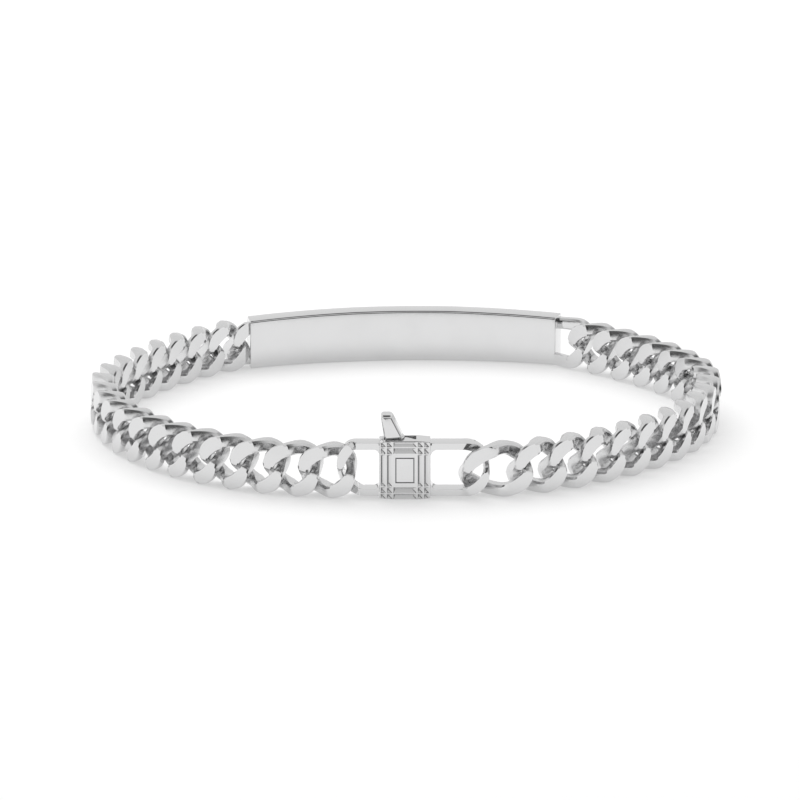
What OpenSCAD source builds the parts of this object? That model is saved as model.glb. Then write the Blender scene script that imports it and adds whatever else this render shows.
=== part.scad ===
// Identity bracelet standing on its edge: a bowed name plate at the back, a run of curb
// links down each side and a ring clasp with a sprung lever at the front.
// X points right, Y points from the clasp to the plate, Z points up. Lengths are in
// millimetres, angles in degrees. The origin is on the surface, at the middle of the loop.

/* [Loop] */
// Distance across the loop between the chain's centre lines
loop_width = 65.66; // [62:0.02:70]
// Distance from the clasp's centre plane to the middle of the plate
loop_depth = 54.6; // [52:0.1:58]
// Height of the chain's centre line above the surface
chain_height = 2.83; // [2.8:0.01:3]

/* [Plate] */
// Length of the plate along its curve
plate_length = 35.9; // [32:0.1:38]
// Height of the plate at its middle
plate_height = 5.86; // [5.7:0.02:6.6]
// How much lower the plate is at its ends
plate_taper = 0.3; // [0:0.05:0.4]
// Thickness of the plate
plate_thick = 2.5; // [2.2:0.05:3]
// Radius of the plate's bow, at the middle of its thickness
plate_radius = 48; // [44:0.5:60]
// Radius that rounds the plate's long edges
plate_round = 0.25; // [0.1:0.05:0.4]
// How far the plate is turned about the loop's axis
plate_turn = 2.4; // [0:0.1:4]
// Sideways place of the plate's middle
plate_shift = -0.35; // [-1:0.05:1]
// Slant of the plate's left end from the front to back direction
left_end_slant = 10; // [5:1:24]
// Slant of the plate's right end from the front to back direction
right_end_slant = 17; // [5:1:20]

/* [Curb links] */
// Outer length of a link
link_length = 5.92; // [5.7:0.02:6.4]
// Outer width of a link
link_width = 5.6; // [5.4:0.02:5.8]
// Thickness between a link's two ground faces
link_thick = 2.52; // [2.4:0.02:2.8]
// How far a strand's centre swings out of the link's plane
link_twist = 1.06; // [0.9:0.02:1.1]
// How long a strand holds its swing before it crosses over, 0 for a plain wave
link_hold = 0.45; // [0.3:0.05:0.5]
// Width of the strand at a link's ends
end_wire = 1; // [0.9:0.02:1.06]
// Width of the strand at the middle of a link's sides
side_wire = 1.32; // [1.2:0.02:1.4]
// Width of the strand at a link's four shoulders
shoulder_wire = 1.66; // [1.6:0.02:1.8]
// Depth of the strand through the link's plane
wire_depth = 1.3; // [1.2:0.02:1.34]
// Play that is left between two links pulled straight
link_play = 0.18; // [0.14:0.01:0.3]
// Extra length of the link that hangs in the clasp's right end
long_link_extra = 1.6; // [0:0.1:2]
// How far the long link slides inward in the clasp's right end
long_link_slack = 1.15; // [0.2:0.05:1.2]

/* [Clasp] */
// Width of the clasp's block
block_width = 5.27; // [5:0.01:5.6]
// Height of the clasp's block
block_height = 6.28; // [6.1:0.02:6.6]
// Thickness of the clasp's block
block_thick = 2.4; // [2.3:0.05:2.8]
// How much the block's top and bottom fall away at their corners
block_crown = 0.12; // [0.05:0.01:0.2]
// Sideways place of the block's middle
clasp_shift = -0.13; // [-1:0.01:1]
// Reach of the ring to the left of the block's middle
ring_left = 7.03; // [6.8:0.01:7.6]
// Reach of the ring to the right of the block's middle
ring_right = 8.78; // [8.4:0.01:9.6]
// Outer height of the ring
ring_height = 5.7; // [5.6:0.02:5.8]
// Length of the upper half of the ring's curved left end
ring_bend_upper = 1.9; // [1.7:0.05:2.8]
// Length of the lower half of the ring's curved left end
ring_bend_lower = 2.9; // [2.6:0.05:3.4]
// Length of the ring's curved right end
ring_bend_right = 3.4; // [3.2:0.05:3.7]
// Height of the ring's straight arms
arm_wire = 0.72; // [0.6:0.02:0.8]
// Depth of the ring's straight arms
arm_depth = 1.85; // [1.6:0.05:2]
// Width of the ring's strand at its left and right ends
ring_end_wire = 0.7; // [0.6:0.02:0.8]
// Width of the ring's strand at its shoulders
ring_shoulder_wire = 1.1; // [1:0.02:1.3]
// Radius of the concave corners between the arms and the block
corner_round = 0.6; // [0.3:0.05:0.8]
// Diameter of the small round knob at the block's upper left corner
knob_diameter = 0.42; // [0.3:0.02:0.5]
// Length of the knob back from the block's front
knob_length = 0.9; // [0.5:0.05:1.2]

/* [Pattern on the clasp] */
// Width of one groove
groove_width = 0.24; // [0.16:0.01:0.3]
// Depth of the grooves
groove_depth = 0.14; // [0.08:0.01:0.2]
// Distance of the outer upright grooves from the block's middle
outer_upright = 2.24; // [2.15:0.01:2.3]
// Distance of the inner upright grooves from the block's middle
inner_upright = 1.6; // [1.5:0.01:1.7]
// Distance of the outer level grooves from the block's middle
outer_level = 2.85; // [2.75:0.01:2.86]
// Distance of the inner level grooves from the block's middle
inner_level = 2.15; // [2:0.01:2.3]
// Width of the plain panel in the middle
panel_width = 1.74; // [1.5:0.02:1.9]
// Height of the plain panel in the middle
panel_height = 2.5; // [2.2:0.02:2.7]
// Width of the line round the plain panel
panel_line = 0.12; // [0.1:0.01:0.2]

/* [Lever] */
// How far the lever's tab stands above the block
tab_rise = 2.69; // [2:0.01:3]
// Distance of the tab's left side from the block's middle, where it leaves the block
tab_left = 2.1; // [1.9:0.01:2.15]
// Width of the tab where it leaves the block
tab_base = 2.1; // [1.8:0.01:2.15]
// Width of the tab at its top, without the rounding of its corner
tab_top = 0.84; // [0.6:0.02:0.9]
// How far the tab leans to the left at its top
tab_lean = 0.4; // [0:0.02:0.5]
// Radius that rounds the tab's right corner
tab_round = 0.34; // [0.1:0.02:0.4]
// Thickness of the lever's tab and of the lever inside the block
lever_thick = 1.15; // [0.9:0.05:1.2]
// How far the lever is set back from the block's front
lever_setback = 0.85; // [0.8:0.05:0.9]
// Distance of the pivot to the left of the block's middle
pivot_left = 0.1; // [0:0.02:0.2]
// Distance of the pivot below the block's middle
pivot_drop = 1.4; // [1.3:0.02:1.5]
// Diameter of the pivot pin
pin_diameter = 0.8; // [0.6:0.02:0.9]
// Diameter of the lever's hub round the pin
hub_diameter = 1.7; // [1.5:0.05:1.8]
// Thickness of metal between the pin and the block's patterned front
pin_cover = 0.35; // [0.3:0.05:0.5]
// Thickness of the curved shield with which the lever closes the slot's open end
shield_thick = 0.45; // [0.3:0.05:0.6]
// How far the shield stays below the block's top
shield_drop = 0.05; // [0.04:0.01:0.1]
// Angle that the lever turns to open the gate
lever_travel = 14; // [10:1:15]
// Distance from the pivot to the free end of the gate
gate_reach = 4.75; // [4.4:0.05:4.8]
// Height of the lever's tongue, which joins the hub to the gate
tongue_height = 0.45; // [0.35:0.01:0.5]

/* [Clearances] */
// Running clearance on the radius between the pin and the lever's hub
pivot_play = 0.03; // [0.02:0.01:0.05]
// Clearance on the radius between the pin and the block
pin_fit = 0.01; // [0.01:0.005:0.02]
// Clearance on each side of the lever in the block's slot
slot_play = 0.08; // [0.06:0.01:0.1]
// Gap between the gate and the ring's nose
gate_gap = 0.06; // [0.05:0.01:0.1]
// Gap between the gate and the block's side
side_gap = 0.1; // [0.08:0.01:0.15]

/* [Hidden] */
// Rings of points round a link, sides of its strand, rings round the clasp's ring
LINK_STEPS = 16;
WIRE_SIDES = 6;
RING_STEPS = 24;
// Rings of points along a bail's end
BAIL_STEPS = 8;
// Points along each half of a side's route
ROUTE_STEPS = 160;
// Length by which a cut runs past what it cuts, and joined pieces run into each other
CLEAR = 1;
FUSE = 0.5;

// The route of the chain down each side, in round numbers chosen by hand: how far the
// widest point lies behind the loop's middle, then the pull of the curve at the plate,
// before the widest point, after it, and at the clasp
LEFT_ROUTE = [0.3, 8.4, 6, 11, 19];
RIGHT_ROUTE = [1.2, 2.5, 10.6, 16, 11];
// The middle of each bail: its distance past the plate's end, its distance outward from
// the plate's centre line, and its turn inward from the plate's end
LEFT_BAIL = [-0.3, 0.4, 3];
RIGHT_BAIL = [1.5, -0.5, 17];
// How far inside the clasp's centre plane the long link's end of the route lies
LONG_LINK_INSIDE = 0.2;
// Angle round a link at which a bail leaves the link's shape and runs to the plate
BAIL_ANGLE = 65;
// Depth to which a bail's arms run into the plate, and how far they stay inside its faces
BAIL_SEAT = 0.6;
BAIL_INSET = 0.02;
// Swing of the strand in the ring's ends, as a share of a link's, and how late the arms
// take on their full depth on their way from the ends
RING_TWIST = 1.55;
ARM_BLEND = 40;

// A link's centre line, and the most that its neighbour can be away
half_length = (link_length - end_wire) / 2;
half_width = (link_width - side_wire) / 2;
inner_half = half_length - end_wire / 2;
pitch_most = 2 * inner_half - link_play;

// The plate's frame, seen from above
plate_y = loop_depth / 2;
plate_middle_z = plate_height / 2;
plate_angle = plate_length / plate_radius * 90 / PI;
plate_centre = [plate_shift, plate_y] - plate_radius * [-sin(plate_turn), cos(plate_turn)];

// The clasp's frame, seen from its front: X to the right, Y up, Z out of the front
clasp_y = -loop_depth / 2;
clasp_z = block_height / 2;
arm_level = (ring_height - arm_wire) / 2;
lever_front = block_thick / 2 - lever_setback;
lever_back = lever_front - lever_thick;
pivot = [-pivot_left, -pivot_drop];
tongue_top = -arm_level + arm_wire / 2;
block_left = -block_width / 2;
slot_left = -tab_left - slot_play;
slot_right = max(stem_reach(), pivot[0] + hub_diameter / 2 + slot_play) + slot_play;
shield_radius = clasp_z - pivot[1] - shield_drop;
// The shield reaches a little way under the slot's right edge
SHIELD_LAP = 1;
shield_end = acos((slot_right - pivot[0]) / shield_radius) - SHIELD_LAP;

// Where the tab's right side stands at the block's top once the lever has turned
function stem_reach() =
    let (x = tab_base - tab_left - pivot[0], y = clasp_z - pivot[1])
    pivot[0] + x * cos(lever_travel) + y * sin(lever_travel);

function toward(angle) = [cos(angle), sin(angle)];

// Place on the plate at an angle to the left of its middle, and at a distance outward
// from its centre line
function on_plate(angle, out = 0) =
    plate_centre + (plate_radius + out) * toward(90 + angle + plate_turn);

function degrees_along_plate(length) = length / plate_radius * 180 / PI;

// Middle of the bail on a side, -1 for the left and 1 for the right
function bail_middle(side) =
    let (bail = side < 0 ? LEFT_BAIL : RIGHT_BAIL)
    on_plate(-side * (plate_angle + degrees_along_plate(bail[0])), bail[1]);

// Direction in which a side's chain leaves its bail, from +X
function bail_heading(side) =
    let (bail = side < 0 ? LEFT_BAIL : RIGHT_BAIL)
    90 - side * (90 + plate_angle + bail[2]) + plate_turn;

// Place in the clasp's end where the next link's middle would be
function clasp_end(side) =
    let (
        reach = side < 0 ? ring_left : ring_right,
        inside = side < 0 ? 0 : LONG_LINK_INSIDE
    )
    [clasp_shift + side * (reach - ring_end_wire - inner_half), clasp_y + inside];

function bezier(p, t) =
    pow(1 - t, 3) * p[0] + 3 * t * pow(1 - t, 2) * p[1] + 3 * t * t * (1 - t) * p[2] + pow(t, 3) * p[3];

// Points along a side's route, from its bail round the widest point to the clasp
function route_points(side) =
    let (
        route = side < 0 ? LEFT_ROUTE : RIGHT_ROUTE,
        start = bail_middle(side),
        widest = [side * loop_width / 2, route[0]],
        end = clasp_end(side),
        back = [start, start + route[1] * toward(bail_heading(side)), widest + [0, route[2]], widest],
        front = [widest, widest - [0, route[3]], end + [side * route[4], 0], end]
    )
    concat(
        [for (i = [0:ROUTE_STEPS - 1]) bezier(back, i / ROUTE_STEPS)],
        [for (i = [0:ROUTE_STEPS]) bezier(front, i / ROUTE_STEPS)]
    );

// Length of a line of points up to each of them
function lengths(points) =
    [for (i = 0, s = 0; i < len(points);
        i = i + 1, s = i < len(points) ? s + norm(points[i] - points[i - 1]) : s) s];

// Tables that give X and Y for a distance along a side's route
function route_tables(side) =
    let (points = route_points(side), s = lengths(points))
    [for (axis = [0, 1]) [for (i = [0:len(points) - 1]) [s[i], points[i][axis]]]];

left_tables = route_tables(-1);
right_tables = route_tables(1);
left_total = left_tables[0][2 * ROUTE_STEPS][0];
right_total = right_tables[0][2 * ROUTE_STEPS][0] - long_link_extra + long_link_slack;

// Steps from one link's middle to the next, and the links that stand between the bail and
// the clasp
left_steps = ceil(left_total / pitch_most);
right_steps = ceil(right_total / pitch_most);
left_pitch = left_total / left_steps;
right_pitch = right_total / right_steps;
left_links = left_steps - 1;
right_links = right_steps - 1;

function link_name(side, i) = str("link_", side < 0 ? "left_" : "right_", i < 10 ? "0" : "", i);

function pitch(side) = side < 0 ? left_pitch : right_pitch;

function route_place(side, s) =
    let (tables = side < 0 ? left_tables : right_tables)
    [lookup(s, tables[0]), lookup(s, tables[1])];

// Direction of a side's route over one pitch about a distance along it, from +X
function route_heading(side, s) =
    let (
        half = pitch(side) / 2,
        d = route_place(side, s + half) - route_place(side, max(0, s - half))
    )
    atan2(d[1], d[0]);

// Extra length of link i, and the distance of its middle along the route
function extra_length(side, i) = side > 0 && i == right_links ? long_link_extra : 0;
function link_distance(side, i) = i * pitch(side) + extra_length(side, i) / 2;

// Heading of a piece, which runs round the loop anticlockwise from above on both sides
function round_heading(side, heading) = heading + (side > 0 ? 180 : 0);

// A bail faces half way between its place on the route and the first link
function bail_facing(side) = round_heading(side, route_heading(side, pitch(side) / 2));

// Half of a strand's width at an angle round a link, from its widths at the link's ends,
// at the middle of its sides and at its shoulders
function strand_half(t, end, side, shoulder) =
    let (corner = pow(sin(2 * t), 2))
    (end + (shoulder - end) * corner + (side - end) * pow(sin(t), 2) * (1 - corner)) / 2;

// Ring of points round a strand through c in direction d. Each row of a section holds a
// point's place across the strand and through its depth, as shares of half its size
function strand_ring(c, d, half, depth, section) =
    let (
        out = [d[1], -d[0], 0] / norm([d[0], d[1]]),
        up = cross(d / norm(d), out)
    )
    [for (row = section)
        let (p = c + out * half * row[0] + up * depth / 2 * row[1])
        [p[0], p[1], max(-link_thick / 2, min(link_thick / 2, p[2]))]];

// A link's strand is oval, and the clasp's is a flat bar with chamfered corners
oval_section = [for (k = [0:WIRE_SIDES - 1]) [cos(360 * k / WIRE_SIDES), sin(360 * k / WIRE_SIDES)]];
bar_section = [[1, 0.7], [0.6, 1], [-0.6, 1], [-1, 0.7], [-1, -0.7], [-0.6, -1], [0.6, -1], [1, -0.7]];

// A link lies in its own X and Y, with X along the chain. Its strand leaves that plane and
// comes back twice on its way round. An extra length draws its oval out along the chain
function link_centre(t, extra = 0) =
    let (s = sin(2 * t))
    [(half_length + extra / 2) * cos(t), half_width * sin(t), -link_twist * s * held(s, 1)];
function link_slope(t, extra = 0) =
    let (swing = -2 * link_twist * cos(2 * t) * held(sin(2 * t), 3))
    [-(half_length + extra / 2) * sin(t), half_width * cos(t), swing];

// How much fuller than a plain wave the swing is at a share s of it, for the swing itself
// with a weight of 1 and for its slope with a weight of 3
function held(s, weight) = 1 + link_hold * (1 - weight * s * s);

// Ring of points at an angle round a link
function link_ring(t, extra = 0) =
    strand_ring(
        link_centre(t, extra),
        link_slope(t, extra),
        strand_half(t, end_wire, side_wire, shoulder_wire),
        wire_depth,
        oval_section
    );

// Rings of a bail in its own frame: the end of a link, with two arms that run into the
// plate's end where the link's strand has swung to its two faces
function bail_rings(side) =
    let (
        facing = bail_facing(side),
        seat = on_plate(-side * (plate_angle - degrees_along_plate(BAIL_SEAT))),
        across = (seat - bail_middle(side)) * toward(facing),
        deep = (seat - bail_middle(side)) * toward(facing - 90),
        rise = (plate_thick - wire_depth) / 2 - BAIL_INSET,
        level = half_width * sin(BAIL_ANGLE),
        middle = side < 0 ? 0 : 180,
        angles = [for (k = [0:BAIL_STEPS]) middle + BAIL_ANGLE * (2 * k / BAIL_STEPS - 1)],
        first = [across, side * level, deep + rise],
        last = [across, -side * level, deep - rise],
        half = side_wire / 2
    )
    concat(
        [strand_ring(first, link_centre(angles[0]) - first, half, wire_depth, oval_section)],
        [for (t = angles) link_ring(t)],
        [strand_ring(last, last - link_centre(angles[BAIL_STEPS]), half, wire_depth, oval_section)]
    );

// Solid through rings of points, closed to a loop or ended like a rod
module strand(rings, closed) {
    sides = len(rings[0]);
    count = len(rings);
    skin = [for (i = [0:closed ? count - 1 : count - 2], k = [0:sides - 1])
        let (
            m = (k + 1) % sides,
            a = i * sides,
            b = (i + 1) % count * sides
        )
        each [[a + k, b + m, a + m], [a + k, b + k, b + m]]];
    ends = closed ? [] : [
        [for (k = [0:sides - 1]) k],
        [for (k = [sides - 1:-1:0]) (count - 1) * sides + k]
    ];
    polyhedron([for (ring = rings, p = ring) p], concat(skin, ends));
}

// Stands a piece's own frame on its edge at a place and a height: its own X along the
// heading, its own Y up, and its own Z away from the middle of the loop
module stand(place, height, heading) {
    translate([place[0], place[1], height])
        rotate([90, 0, heading])
            children();
}

module chain_link(side, i) {
    s = link_distance(side, i);
    extra = extra_length(side, i);
    rings = [for (k = [0:LINK_STEPS - 1]) link_ring(360 * k / LINK_STEPS, extra)];
    color("silver")
        stand(route_place(side, s), chain_height, round_heading(side, route_heading(side, s)))
            strand(rings, true);
}

module bail(side) {
    stand(bail_middle(side), chain_height, bail_facing(side))
        strand(bail_rings(side), false);
}

// Section of the plate: a rectangle with rounded corners
module plate_section() {
    square([plate_thick - 2 * plate_round, plate_height], center = true);
    square([plate_thick, plate_height - 2 * plate_round], center = true);
    for (x = [-1, 1], y = [-1, 1])
        translate([x * (plate_thick / 2 - plate_round), y * (plate_height / 2 - plate_round)])
            circle(r = plate_round, $fn = 32);
}

// Stretch of a ring that the plate is cut from
module plate_bow() {
    spare = degrees_along_plate(plate_thick);
    translate([plate_centre[0], plate_centre[1], plate_middle_z])
        rotate([0, 0, 90 + plate_turn - plate_angle - spare])
            rotate_extrude(angle = 2 * (plate_angle + spare), $fn = 180)
                translate([plate_radius, 0])
                    plate_section();
}

// The plate seen from above between its two slanting end cuts. Past the cuts the outline
// goes straight back by the plate's radius, well clear of the bow
module plate_plan() {
    left = on_plate(plate_angle);
    right = on_plate(-plate_angle);
    left_cut = plate_thick * [tan(left_end_slant), -1];
    right_cut = plate_thick * [-tan(right_end_slant), -1];
    back = [0, plate_radius];
    polygon([
        left + left_cut, left - left_cut, left - left_cut + back,
        right - right_cut + back, right - right_cut, right + right_cut
    ]);
}

// The plate seen from inside the loop: full height at its middle, lower at its ends
module plate_face() {
    half = plate_length / 2 + CLEAR;
    end = (plate_height - plate_taper) / 2;
    peak = (plate_height + plate_taper / 2) / 2;
    polygon([[-half, -end], [0, -peak], [half, -end], [half, end], [0, peak], [-half, end]]);
}

module id_plate() {
    color("silver")
        union() {
            intersection() {
                plate_bow();
                translate([0, 0, -CLEAR])
                    linear_extrude(plate_height + 2 * CLEAR)
                        plate_plan();
                translate([plate_shift, plate_y + CLEAR + plate_thick, plate_middle_z])
                    rotate([90, 0, 0])
                        linear_extrude(plate_radius)
                            plate_face();
            }
            bail(-1);
            bail(1);
        }
}

module at_clasp() {
    stand([clasp_shift, clasp_y], clasp_z, 0)
        children();
}

// Ring of points at an angle round the clasp's ring, whose two ends swing out of its plane
// as a link's do, and whose straight arms lie in it
function clasp_ring(side, t) =
    let (
        reach = side < 0 ? ring_left : ring_right,
        bend = side > 0 ? ring_bend_right : t < 180 ? ring_bend_upper : ring_bend_lower,
        middle = side * (reach - bend),
        swing = -RING_TWIST * link_twist,
        centre_bend = bend - ring_end_wire / 2,
        c = [middle + centre_bend * cos(t), arm_level * sin(t), swing * sin(2 * t) * abs(cos(t))],
        slope = 2 * cos(2 * t) * abs(cos(t)) - side * sin(2 * t) * sin(t),
        d = [-centre_bend * sin(t), arm_level * cos(t), swing * slope]
    )
    strand_ring(
        c,
        d,
        strand_half(t, ring_end_wire, arm_wire, ring_shoulder_wire),
        wire_depth + (arm_depth - wire_depth) * pow(sin(t), ARM_BLEND),
        bar_section
    );

// The whole ring, as it would be without a gate
module whole_ring() {
    step = 360 / RING_STEPS;
    strand(
        concat(
            [for (t = [-90:step:90]) clasp_ring(1, t)],
            [for (t = [90:step:270]) clasp_ring(-1, t)]
        ),
        true
    );
}

// Outline of a concave corner in the first quadrant. Its straight edges run a little past
// the axes, into the metal that the corner joins
module corner_outline(past) {
    difference() {
        translate([-past, -arm_wire / 2])
            square([corner_round + past, corner_round + arm_wire / 2]);
        translate([corner_round, corner_round])
            circle(r = corner_round, $fn = 48);
    }
}

// Corner between the block and an arm, on the left (-1) or right (1), at the arm above (1)
// or below (-1). With a gap it keeps clear of the block's side
module arm_corner(side, up, gap = 0) {
    past = gap > 0 ? 0 : FUSE;
    translate([side * (block_width / 2 + gap), up * (arm_level - arm_wire / 2), -arm_depth / 2])
        mirror([side < 0 ? 1 : 0, 0, 0])
            mirror([0, up > 0 ? 1 : 0, 0])
                linear_extrude(arm_depth)
                    corner_outline(past);
}

// The block's outline from its front, with a flat middle and crowned ends
module block_outline() {
    x = block_width / 2;
    y = block_height / 2;
    flat = block_width / 4;
    polygon([
        [-x, -y + block_crown], [-flat, -y], [flat, -y], [x, -y + block_crown],
        [x, y - block_crown], [flat, y], [-flat, y], [-x, y - block_crown]
    ]);
}

// Knob beside the tab: a short rod from the block's front, half sunk in its top
module knob() {
    x = -(block_width - knob_diameter) / 2;
    y = clasp_z - block_crown + knob_diameter / 4;
    translate([x, y, block_thick / 2 - knob_length])
        cylinder(d = knob_diameter, h = knob_length, $fn = 32);
}

// Grooves that cross into a check round a plain panel in the middle of the block's front
module pattern() {
    spare = CLEAR;
    translate([0, 0, block_thick / 2 - groove_depth])
        linear_extrude(groove_depth + spare) {
            for (x = [-outer_upright, -inner_upright, inner_upright, outer_upright])
                translate([x, 0])
                    square([groove_width, block_height + spare], center = true);
            for (y = [-outer_level, -inner_level, inner_level, outer_level])
                translate([0, y])
                    square([block_width + spare, groove_width], center = true);
            difference() {
                square([panel_width + 2 * panel_line, panel_height + 2 * panel_line], center = true);
                square([panel_width, panel_height], center = true);
            }
        }
}

// The lever's shield: an arc about the pivot from upright down to an angle, with a margin
// added on all sides for the pocket that it turns into
module shield(last, margin = 0) {
    outer = shield_radius + margin;
    far = 2 * outer;
    intersection() {
        translate(pivot)
            difference() {
                circle(r = outer, $fn = 96);
                circle(r = outer - shield_thick - 2 * margin, $fn = 96);
            }
        polygon([pivot, pivot + far * toward(last), pivot + far * toward(90)]);
    }
}

// Space that the lever turns in: an upright slot that is open at the top, a lower one that
// is open at the left for the tongue, and the shield's pocket
module lever_space() {
    floor = tongue_top - tongue_height - slot_play;
    pocket_end = shield_end - lever_travel - asin(slot_play / (shield_radius - shield_thick));
    translate([0, 0, lever_back - slot_play])
        linear_extrude(lever_thick + 2 * slot_play) {
            translate([slot_left, floor])
                square([slot_right - slot_left, block_height]);
            translate([block_left - CLEAR, floor])
                square([slot_left - block_left + 2 * CLEAR, tongue_rise() - floor]);
            shield(pocket_end, slot_play);
        }
}

// Height that the top of the tongue reaches in the block's left side once the lever turns
function tongue_rise() =
    let (
        y = tongue_top + FUSE / 2 - pivot[1],
        x = block_left - pivot[0]
    )
    pivot[1] - x * tan(lever_travel) + y / cos(lever_travel) + slot_play;

// Room of the gate in the ring: the lower arm on the left, from a distance from the
// block's middle to a radius about the pivot, so that the gate's free end swings clear
module gate_room(radius, inner) {
    intersection() {
        translate([pivot[0], pivot[1], -block_thick])
            cylinder(r = radius, h = 2 * block_thick, $fn = 96);
        translate([-inner - 2 * radius, -block_height, -block_thick])
            cube([2 * radius, block_height, 2 * block_thick]);
    }
}

module clasp_body() {
    bore = pin_diameter + 2 * pin_fit;
    color("silver")
        at_clasp()
            difference() {
                union() {
                    difference() {
                        whole_ring();
                        gate_room(gate_reach + gate_gap, 0);
                    }
                    translate([0, 0, -block_thick / 2])
                        linear_extrude(block_thick)
                            block_outline();
                    knob();
                    arm_corner(-1, 1);
                    arm_corner(1, 1);
                    arm_corner(1, -1);
                }
                pattern();
                lever_space();
                translate([pivot[0], pivot[1], -block_thick / 2 - CLEAR])
                    cylinder(d = bore, h = block_thick + CLEAR - pin_cover, $fn = 48);
            }
}

// The tab from its front: a leaning left side, a flat top, one rounded corner and a
// straight slant on the right
module tab_outline() {
    top = clasp_z + tab_rise;
    base = [tab_base - tab_left, clasp_z];
    centre = [tab_top - tab_left - tab_lean, top - tab_round];
    d = base - centre;
    touch = centre + tab_round * toward(atan2(d[1], d[0]) + acos(tab_round / norm(d)));
    polygon([
        [-tab_left, clasp_z - FUSE], [base[0], clasp_z - FUSE], base, touch,
        [centre[0], top], [-tab_left - tab_lean, top], [-tab_left, clasp_z]
    ]);
    translate(centre)
        circle(r = tab_round, $fn = 32);
}

// The lever inside the block: a stem from the tab to the hub, and a tongue to the gate
module lever_outline() {
    hub = hub_diameter / 2;
    tongue_end = block_left - side_gap - FUSE;
    tongue_bottom = tongue_top - tongue_height;
    tab_outline();
    shield(shield_end);
    translate(pivot)
        circle(d = hub_diameter, $fn = 48);
    polygon([
        [-tab_left, clasp_z], [tab_base - tab_left, clasp_z], pivot + [hub, 0],
        [pivot[0], tongue_bottom], [tongue_end, tongue_bottom], [tongue_end, tongue_top],
        [pivot[0] - 2 * hub, tongue_top], [pivot[0] - 2 * hub, pivot[1]]
    ]);
}

module clasp_lever() {
    bore = pin_diameter + 2 * pivot_play;
    color("silver")
        at_clasp()
            difference() {
                union() {
                    intersection() {
                        whole_ring();
                        gate_room(gate_reach, -block_left + side_gap);
                    }
                    arm_corner(-1, -1, side_gap);
                    translate([0, 0, lever_back])
                        linear_extrude(lever_thick)
                            lever_outline();
                }
                translate([pivot[0], pivot[1], -block_thick])
                    cylinder(d = bore, h = 2 * block_thick, $fn = 48);
            }
}

module pivot_pin() {
    color("silver")
        at_clasp()
            translate([pivot[0], pivot[1], -block_thick / 2])
                cylinder(d = pin_diameter, h = block_thick - pin_cover - pin_fit, $fn = 48);
}

id_plate();
clasp_body();
clasp_lever();
pivot_pin();
for (i = [1:left_links])
    chain_link(-1, i);
for (i = [1:right_links])
    chain_link(1, i);
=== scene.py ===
import itertools
import math

import bmesh
import bpy
import numpy as np
from bpy.props import FloatProperty, FloatVectorProperty, IntProperty, PointerProperty
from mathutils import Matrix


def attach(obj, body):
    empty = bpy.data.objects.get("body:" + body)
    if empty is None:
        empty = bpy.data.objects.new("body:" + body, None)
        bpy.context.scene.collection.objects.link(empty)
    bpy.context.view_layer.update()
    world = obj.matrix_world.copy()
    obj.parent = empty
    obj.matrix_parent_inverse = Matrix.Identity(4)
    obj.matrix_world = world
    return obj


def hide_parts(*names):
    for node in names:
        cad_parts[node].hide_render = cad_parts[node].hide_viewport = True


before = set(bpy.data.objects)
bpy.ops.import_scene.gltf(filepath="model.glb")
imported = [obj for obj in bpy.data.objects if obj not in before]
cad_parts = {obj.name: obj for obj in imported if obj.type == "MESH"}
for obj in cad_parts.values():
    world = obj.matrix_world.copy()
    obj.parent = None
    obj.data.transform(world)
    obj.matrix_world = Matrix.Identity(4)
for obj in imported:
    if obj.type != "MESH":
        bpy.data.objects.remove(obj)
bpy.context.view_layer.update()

bl_info = {
    "name": "Identity bracelet",
    "version": (1, 0, 0),
    "blender": (4, 5, 0),
    "location": "View3D > Sidebar > Bracelet",
    "description": "Polished silver identity bracelet with a curb chain, a name plate and a ring clasp",
    "category": "Add Mesh",
}

MM = 0.001
# Points that are closer than this are joined, and shorter edges are dropped, in metres
JOIN_DISTANCE = 2e-7
SHORTEST_EDGE = 1e-7
# Distance between the grid lines that stand for one sheer wall, in metres
HAIR = 2e-6
# Points across a strand's ground faces and over its sides, on links and on the clasp's ring
LINK_SECTION = (6, 12)
RING_SECTION = (10, 14)
# Share of its reach up to which a section may be cut, so that a ground face never closes
CUT_LIMIT = 0.985
# Share of a ground face's height from which a point counts as ground
GROUND_SHARE = 0.999
# Stations along the ring's strand: the middle of its end, and the gate's root beside the block
RING_MIDDLE = 2.0
GATE_ROOT = 3.9
# Heights, as shares of straight up, between which the dark behind the camera ends and the
# dark ceiling starts, and how far forward the dark lies
DARK_HEIGHT = (0.3, 0.65)
DARK_FORWARD = (-0.6, -0.2)
CEILING_HEIGHT = (0.8, 0.93)


# Settings


def length(name, description, millimetres):
    """A length property, given in millimetres and kept in metres."""
    return FloatProperty(
        name=name, description=description, default=millimetres * MM,
        precision=5, unit="LENGTH", subtype="DISTANCE",
    )


def angle(name, description, degrees):
    """An angle property, given in degrees and kept in radians."""
    return FloatProperty(
        name=name, description=description, default=math.radians(degrees),
        unit="ROTATION", subtype="ANGLE",
    )


def share(name, description, value, highest=1.0):
    """A plain number from 0 to its highest value."""
    return FloatProperty(
        name=name, description=description, default=value, min=0.0, max=highest, precision=3,
    )


def colour(name, description, value):
    """A colour property, in linear red, green and blue."""
    return FloatVectorProperty(
        name=name, description=description, default=value, size=3, min=0.0, max=1.0,
        subtype="COLOR",
    )


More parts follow.
